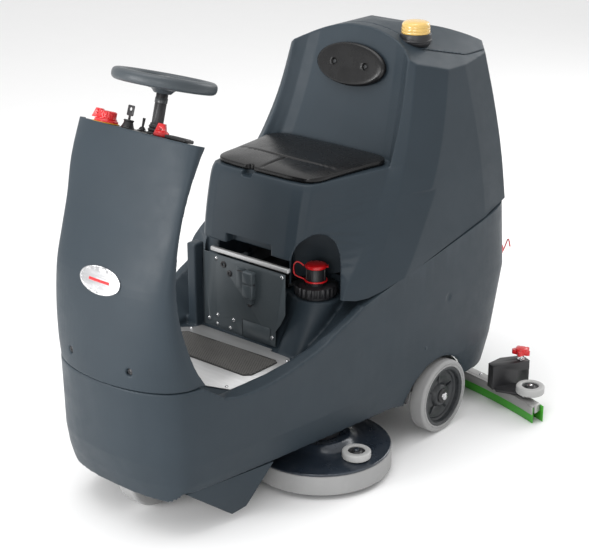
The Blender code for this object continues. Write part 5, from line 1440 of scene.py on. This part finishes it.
def swept_bar(low_z, high_z, front, back, span, steps=40):
    """A bar that follows the squeegee's bow."""
    sections = []
    for k in range(-steps, steps + 1):
        x = span * k / steps
        y = blade_curve(x)
        sections.append([(x, y - front, low_z), (x, y + back, low_z), (x, y + back, high_z),
                         (x, y - front, high_z)])
    return loft(sections)


def build_holder():
    """The grey holder that clamps the blades."""
    holder = swept_bar(0.030, 0.052, 0.014, 0.012, 0.500)
    cut(holder, cylinder((0.0, 0.588, 0.0), (0.0, 0.588, 0.10), 0.0108))
    cut(holder, cylinder((0.0, 0.588, 0.0525), (0.0, 0.588, 0.10), 0.0195))
    strip = swept_bar(0.0265, 0.0500, 0.0232, -0.0199, 0.4955)
    lip = swept_bar(0.0480, 0.0515, 0.0232, 0.0120, 0.4955)
    cut(lip, cylinder((0.0, 0.588, 0.0), (0.0, 0.588, 0.10), 0.0197))
    piece(eased(group(holder, strip, lip), 0.0010), "squeegee_holder", GREY, "squeegee",
          "black_plastic")


def build_brackets():
    """The two clamp feet with their roller shelves, and the middle plate."""
    block = None
    for side in (-1, 1):
        foot = prism(((0.324, 0.506), (0.350, 0.492), (0.402, 0.600), (0.366, 0.616), (0.328, 0.560)),
                     2, 0.0530, 0.1236)
        cut(foot, prism(((0.366, 0.500), (0.440, 0.520), (0.420, 0.620), (0.392, 0.590)), 2, 0.040, 0.0960))
        shelf = prism(((0.350, 0.500), (0.366, 0.486), (0.452, 0.518), (0.462, 0.534), (0.449, 0.547),
                       (0.380, 0.560)), 2, 0.0535, 0.0600)
        hub_pin = cylinder((0.449, 0.533, 0.0590), (0.449, 0.533, 0.0830), 0.0058, 32)
        join(foot, shelf, hub_pin)
        cut(foot, cylinder((*SQUEEGEE_KNOB, 0.060), (*SQUEEGEE_KNOB, 0.130), 0.0052, 32))
        if side < 0:
            moved(foot, LEFT_TO_RIGHT)
        block = join(block, foot) if block else foot
    plate = prism(((-0.060, 0.452), (0.060, 0.452), (0.090, 0.590), (-0.090, 0.590)), 2, 0.0520, 0.0590)
    join(plate, box((-0.020, 0.452, 0.055), (0.020, 0.482, 0.115)))
    cut(plate, cylinder((0.0, 0.467, 0.02), (0.0, 0.467, 0.16), 0.0085),
        cylinder((0.0, 0.588, 0.0525), (0.0, 0.588, 0.10), 0.0195))
    piece(eased(group(block, plate), 0.0025, 3), "squeegee_brackets", BLACK, "squeegee", "black_plastic",
          "squeegee_body")


def build_blades():
    """Both blades and the screws of their holder."""
    rear = swept_bar(0.0004, 0.0475, 0.0, 0.0035, SQUEEGEE_SPAN)
    moved(rear, Matrix.Translation((0, 0.0128, 0)))
    piece(eased(rear, 0.0006), "rear_blade_skin", GREEN, "squeegee", "green_rubber", "rear_blade")
    front = moved(swept_bar(0.0004, 0.0475, 0.0035, 0.0, 0.496), Matrix.Translation((0, -0.0162, 0)))
    piece(eased(front, 0.0006), "front_blade_skin", GREEN, "squeegee", "green_rubber", "front_blade")
    bolts = []
    for k in range(-5, 6):
        if k:
            x = 0.088 * k
            bolts.append(screw(x, blade_curve(x) - 0.001, 0.0520, (0, 0, 1), 0.0052))
    piece(eased(group(*bolts), 0.0), "holder_screws", STEEL, "squeegee", "steel")


def build_clamps():
    """Both clamp knobs, their stems and the rollers beside them."""
    for side, name in SIDES:
        clamp = "clamp_" + name[0]
        x, y = side * SQUEEGEE_KNOB[0], SQUEEGEE_KNOB[1]
        lobes = wavy_circle(x, y, 100, lambda _, angle: 0.0225 + 0.0045 * math.cos(5 * angle))
        knob = prism(lobes, 2, 0.142, 0.1545)
        join(knob, lathe(((0.0, 0.150), (0.0190, 0.150), (0.0170, 0.1575), (0.0110, 0.1600), (0.0, 0.1600)),
                         (x, y, 0.0), segments=64))
        join(knob, lathe(((0.0, 0.1360), (0.0085, 0.1360), (0.0120, 0.1440), (0.0, 0.1440)),
                         (x, y, 0.0), segments=64))
        piece(eased(knob, 0.0014, 3), "squeegee_knob_skin_" + name, RED, clamp, "red_plastic",
              "squeegee_knob_" + name)
        stem = cylinder((x, y, 0.100), (x, y, 0.140), 0.0046, 32)
        piece(eased(stem, 0.0004), "squeegee_stem_" + name, STEEL, clamp, "steel")
        washer = lathe(((0.0054, 0.1244), (0.0110, 0.1244), (0.0110, 0.1262), (0.0054, 0.1262)),
                       (x, y, 0.0), segments=48)
        piece(eased(washer, 0.0003), "squeegee_washer_" + name, STEEL, "squeegee", "steel")
        centre = (side * SQUEEGEE_ROLLER[0], *SQUEEGEE_ROLLER[1:])
        roller(centre, 0.0400, 0.0110, "squeegee_roller", name, "squeegee_roll_" + name[0],
               "squeegee_roller_" + name)


def build_squeegee():
    build_holder()
    build_brackets()
    build_blades()
    refined("suction_nozzle", BLACK, 0.0012)
    refined("squeegee_arm", FRAME, 0.0012)
    build_clamps()


def build_underframe():
    """The frame, batteries and wedge guards."""
    refined("chassis_frame", FRAME, 0.0012)
    for _, name in SIDES:
        refined("battery_" + name, BATTERY, 0.0016)
        refined("side_guard_" + name, BODY, 0.0030, 3)


build_base()
build_cowl()
build_tank()
build_rear_wheels()
build_arch_liners()
build_front_wheel()
build_steering()
build_console()
build_badge()
build_platform()
build_panel()
build_seat()
build_backrest()
build_beacon()
build_filler()
build_deck()
build_squeegee()
build_underframe()


# ---- camera, light and floor ----
CAMERA_PLACE = (2.4709, -2.8496, 1.9194)
CAMERA_AIM = (-0.0147, 0.0534, 0.4287)
CAMERA_LENS = 93.03
FLOOR_HALF = 8.0
SKY_LEVEL = 0.85
LIGHTS = (
    # name, place, size in metres, power in watts
    ("key", (-1.2, -4.2, 1.3), 1.6, 112.0),
    ("top", (-0.4, -0.6, 4.2), 3.0, 80.0),
    ("front_right", (2.2, -4.2, 1.6), 1.2, 34.0),
    ("rear", (0.6, 3.8, 2.4), 2.2, 50.0),
)


def build_stage():
    """Floor, lights and camera."""
    floor = box((-FLOOR_HALF, -FLOOR_HALF, -0.012), (FLOOR_HALF, FLOOR_HALF, -0.0006))
    floor.name = "floor"
    floor.data.materials.append(material("floor_white", (0.90, 0.90, 0.90), 0.75, grain=0.02,
                                         pitch=60, mottle=0.004))
    world = bpy.data.worlds.new("studio")
    bpy.context.scene.world = world
    world.use_nodes = True
    background = world.node_tree.nodes["Background"]
    background.inputs["Color"].default_value = (1.0, 1.0, 1.0, 1.0)
    background.inputs["Strength"].default_value = SKY_LEVEL
    for name, place, size, power in LIGHTS:
        lamp = bpy.data.lights.new(name, "AREA")
        lamp.size = size
        lamp.energy = power
        holder = bpy.data.objects.new(name, lamp)
        holder.location = place
        aim = Vector((0.0, 0.0, 0.5)) - Vector(place)
        holder.rotation_euler = aim.to_track_quat("-Z", "Y").to_euler()
        bpy.context.scene.collection.objects.link(holder)
    camera = bpy.data.cameras.new("camera")
    camera.lens = CAMERA_LENS
    camera.sensor_width = 36.0
    holder = bpy.data.objects.new("camera", camera)
    holder.location = CAMERA_PLACE
    aim = Vector(CAMERA_AIM) - Vector(holder.location)
    holder.rotation_euler = aim.to_track_quat("-Z", "Y").to_euler()
    bpy.context.scene.collection.objects.link(holder)
    bpy.context.scene.camera = holder


build_stage()
bpy.context.scene.view_settings.view_transform = "Standard"
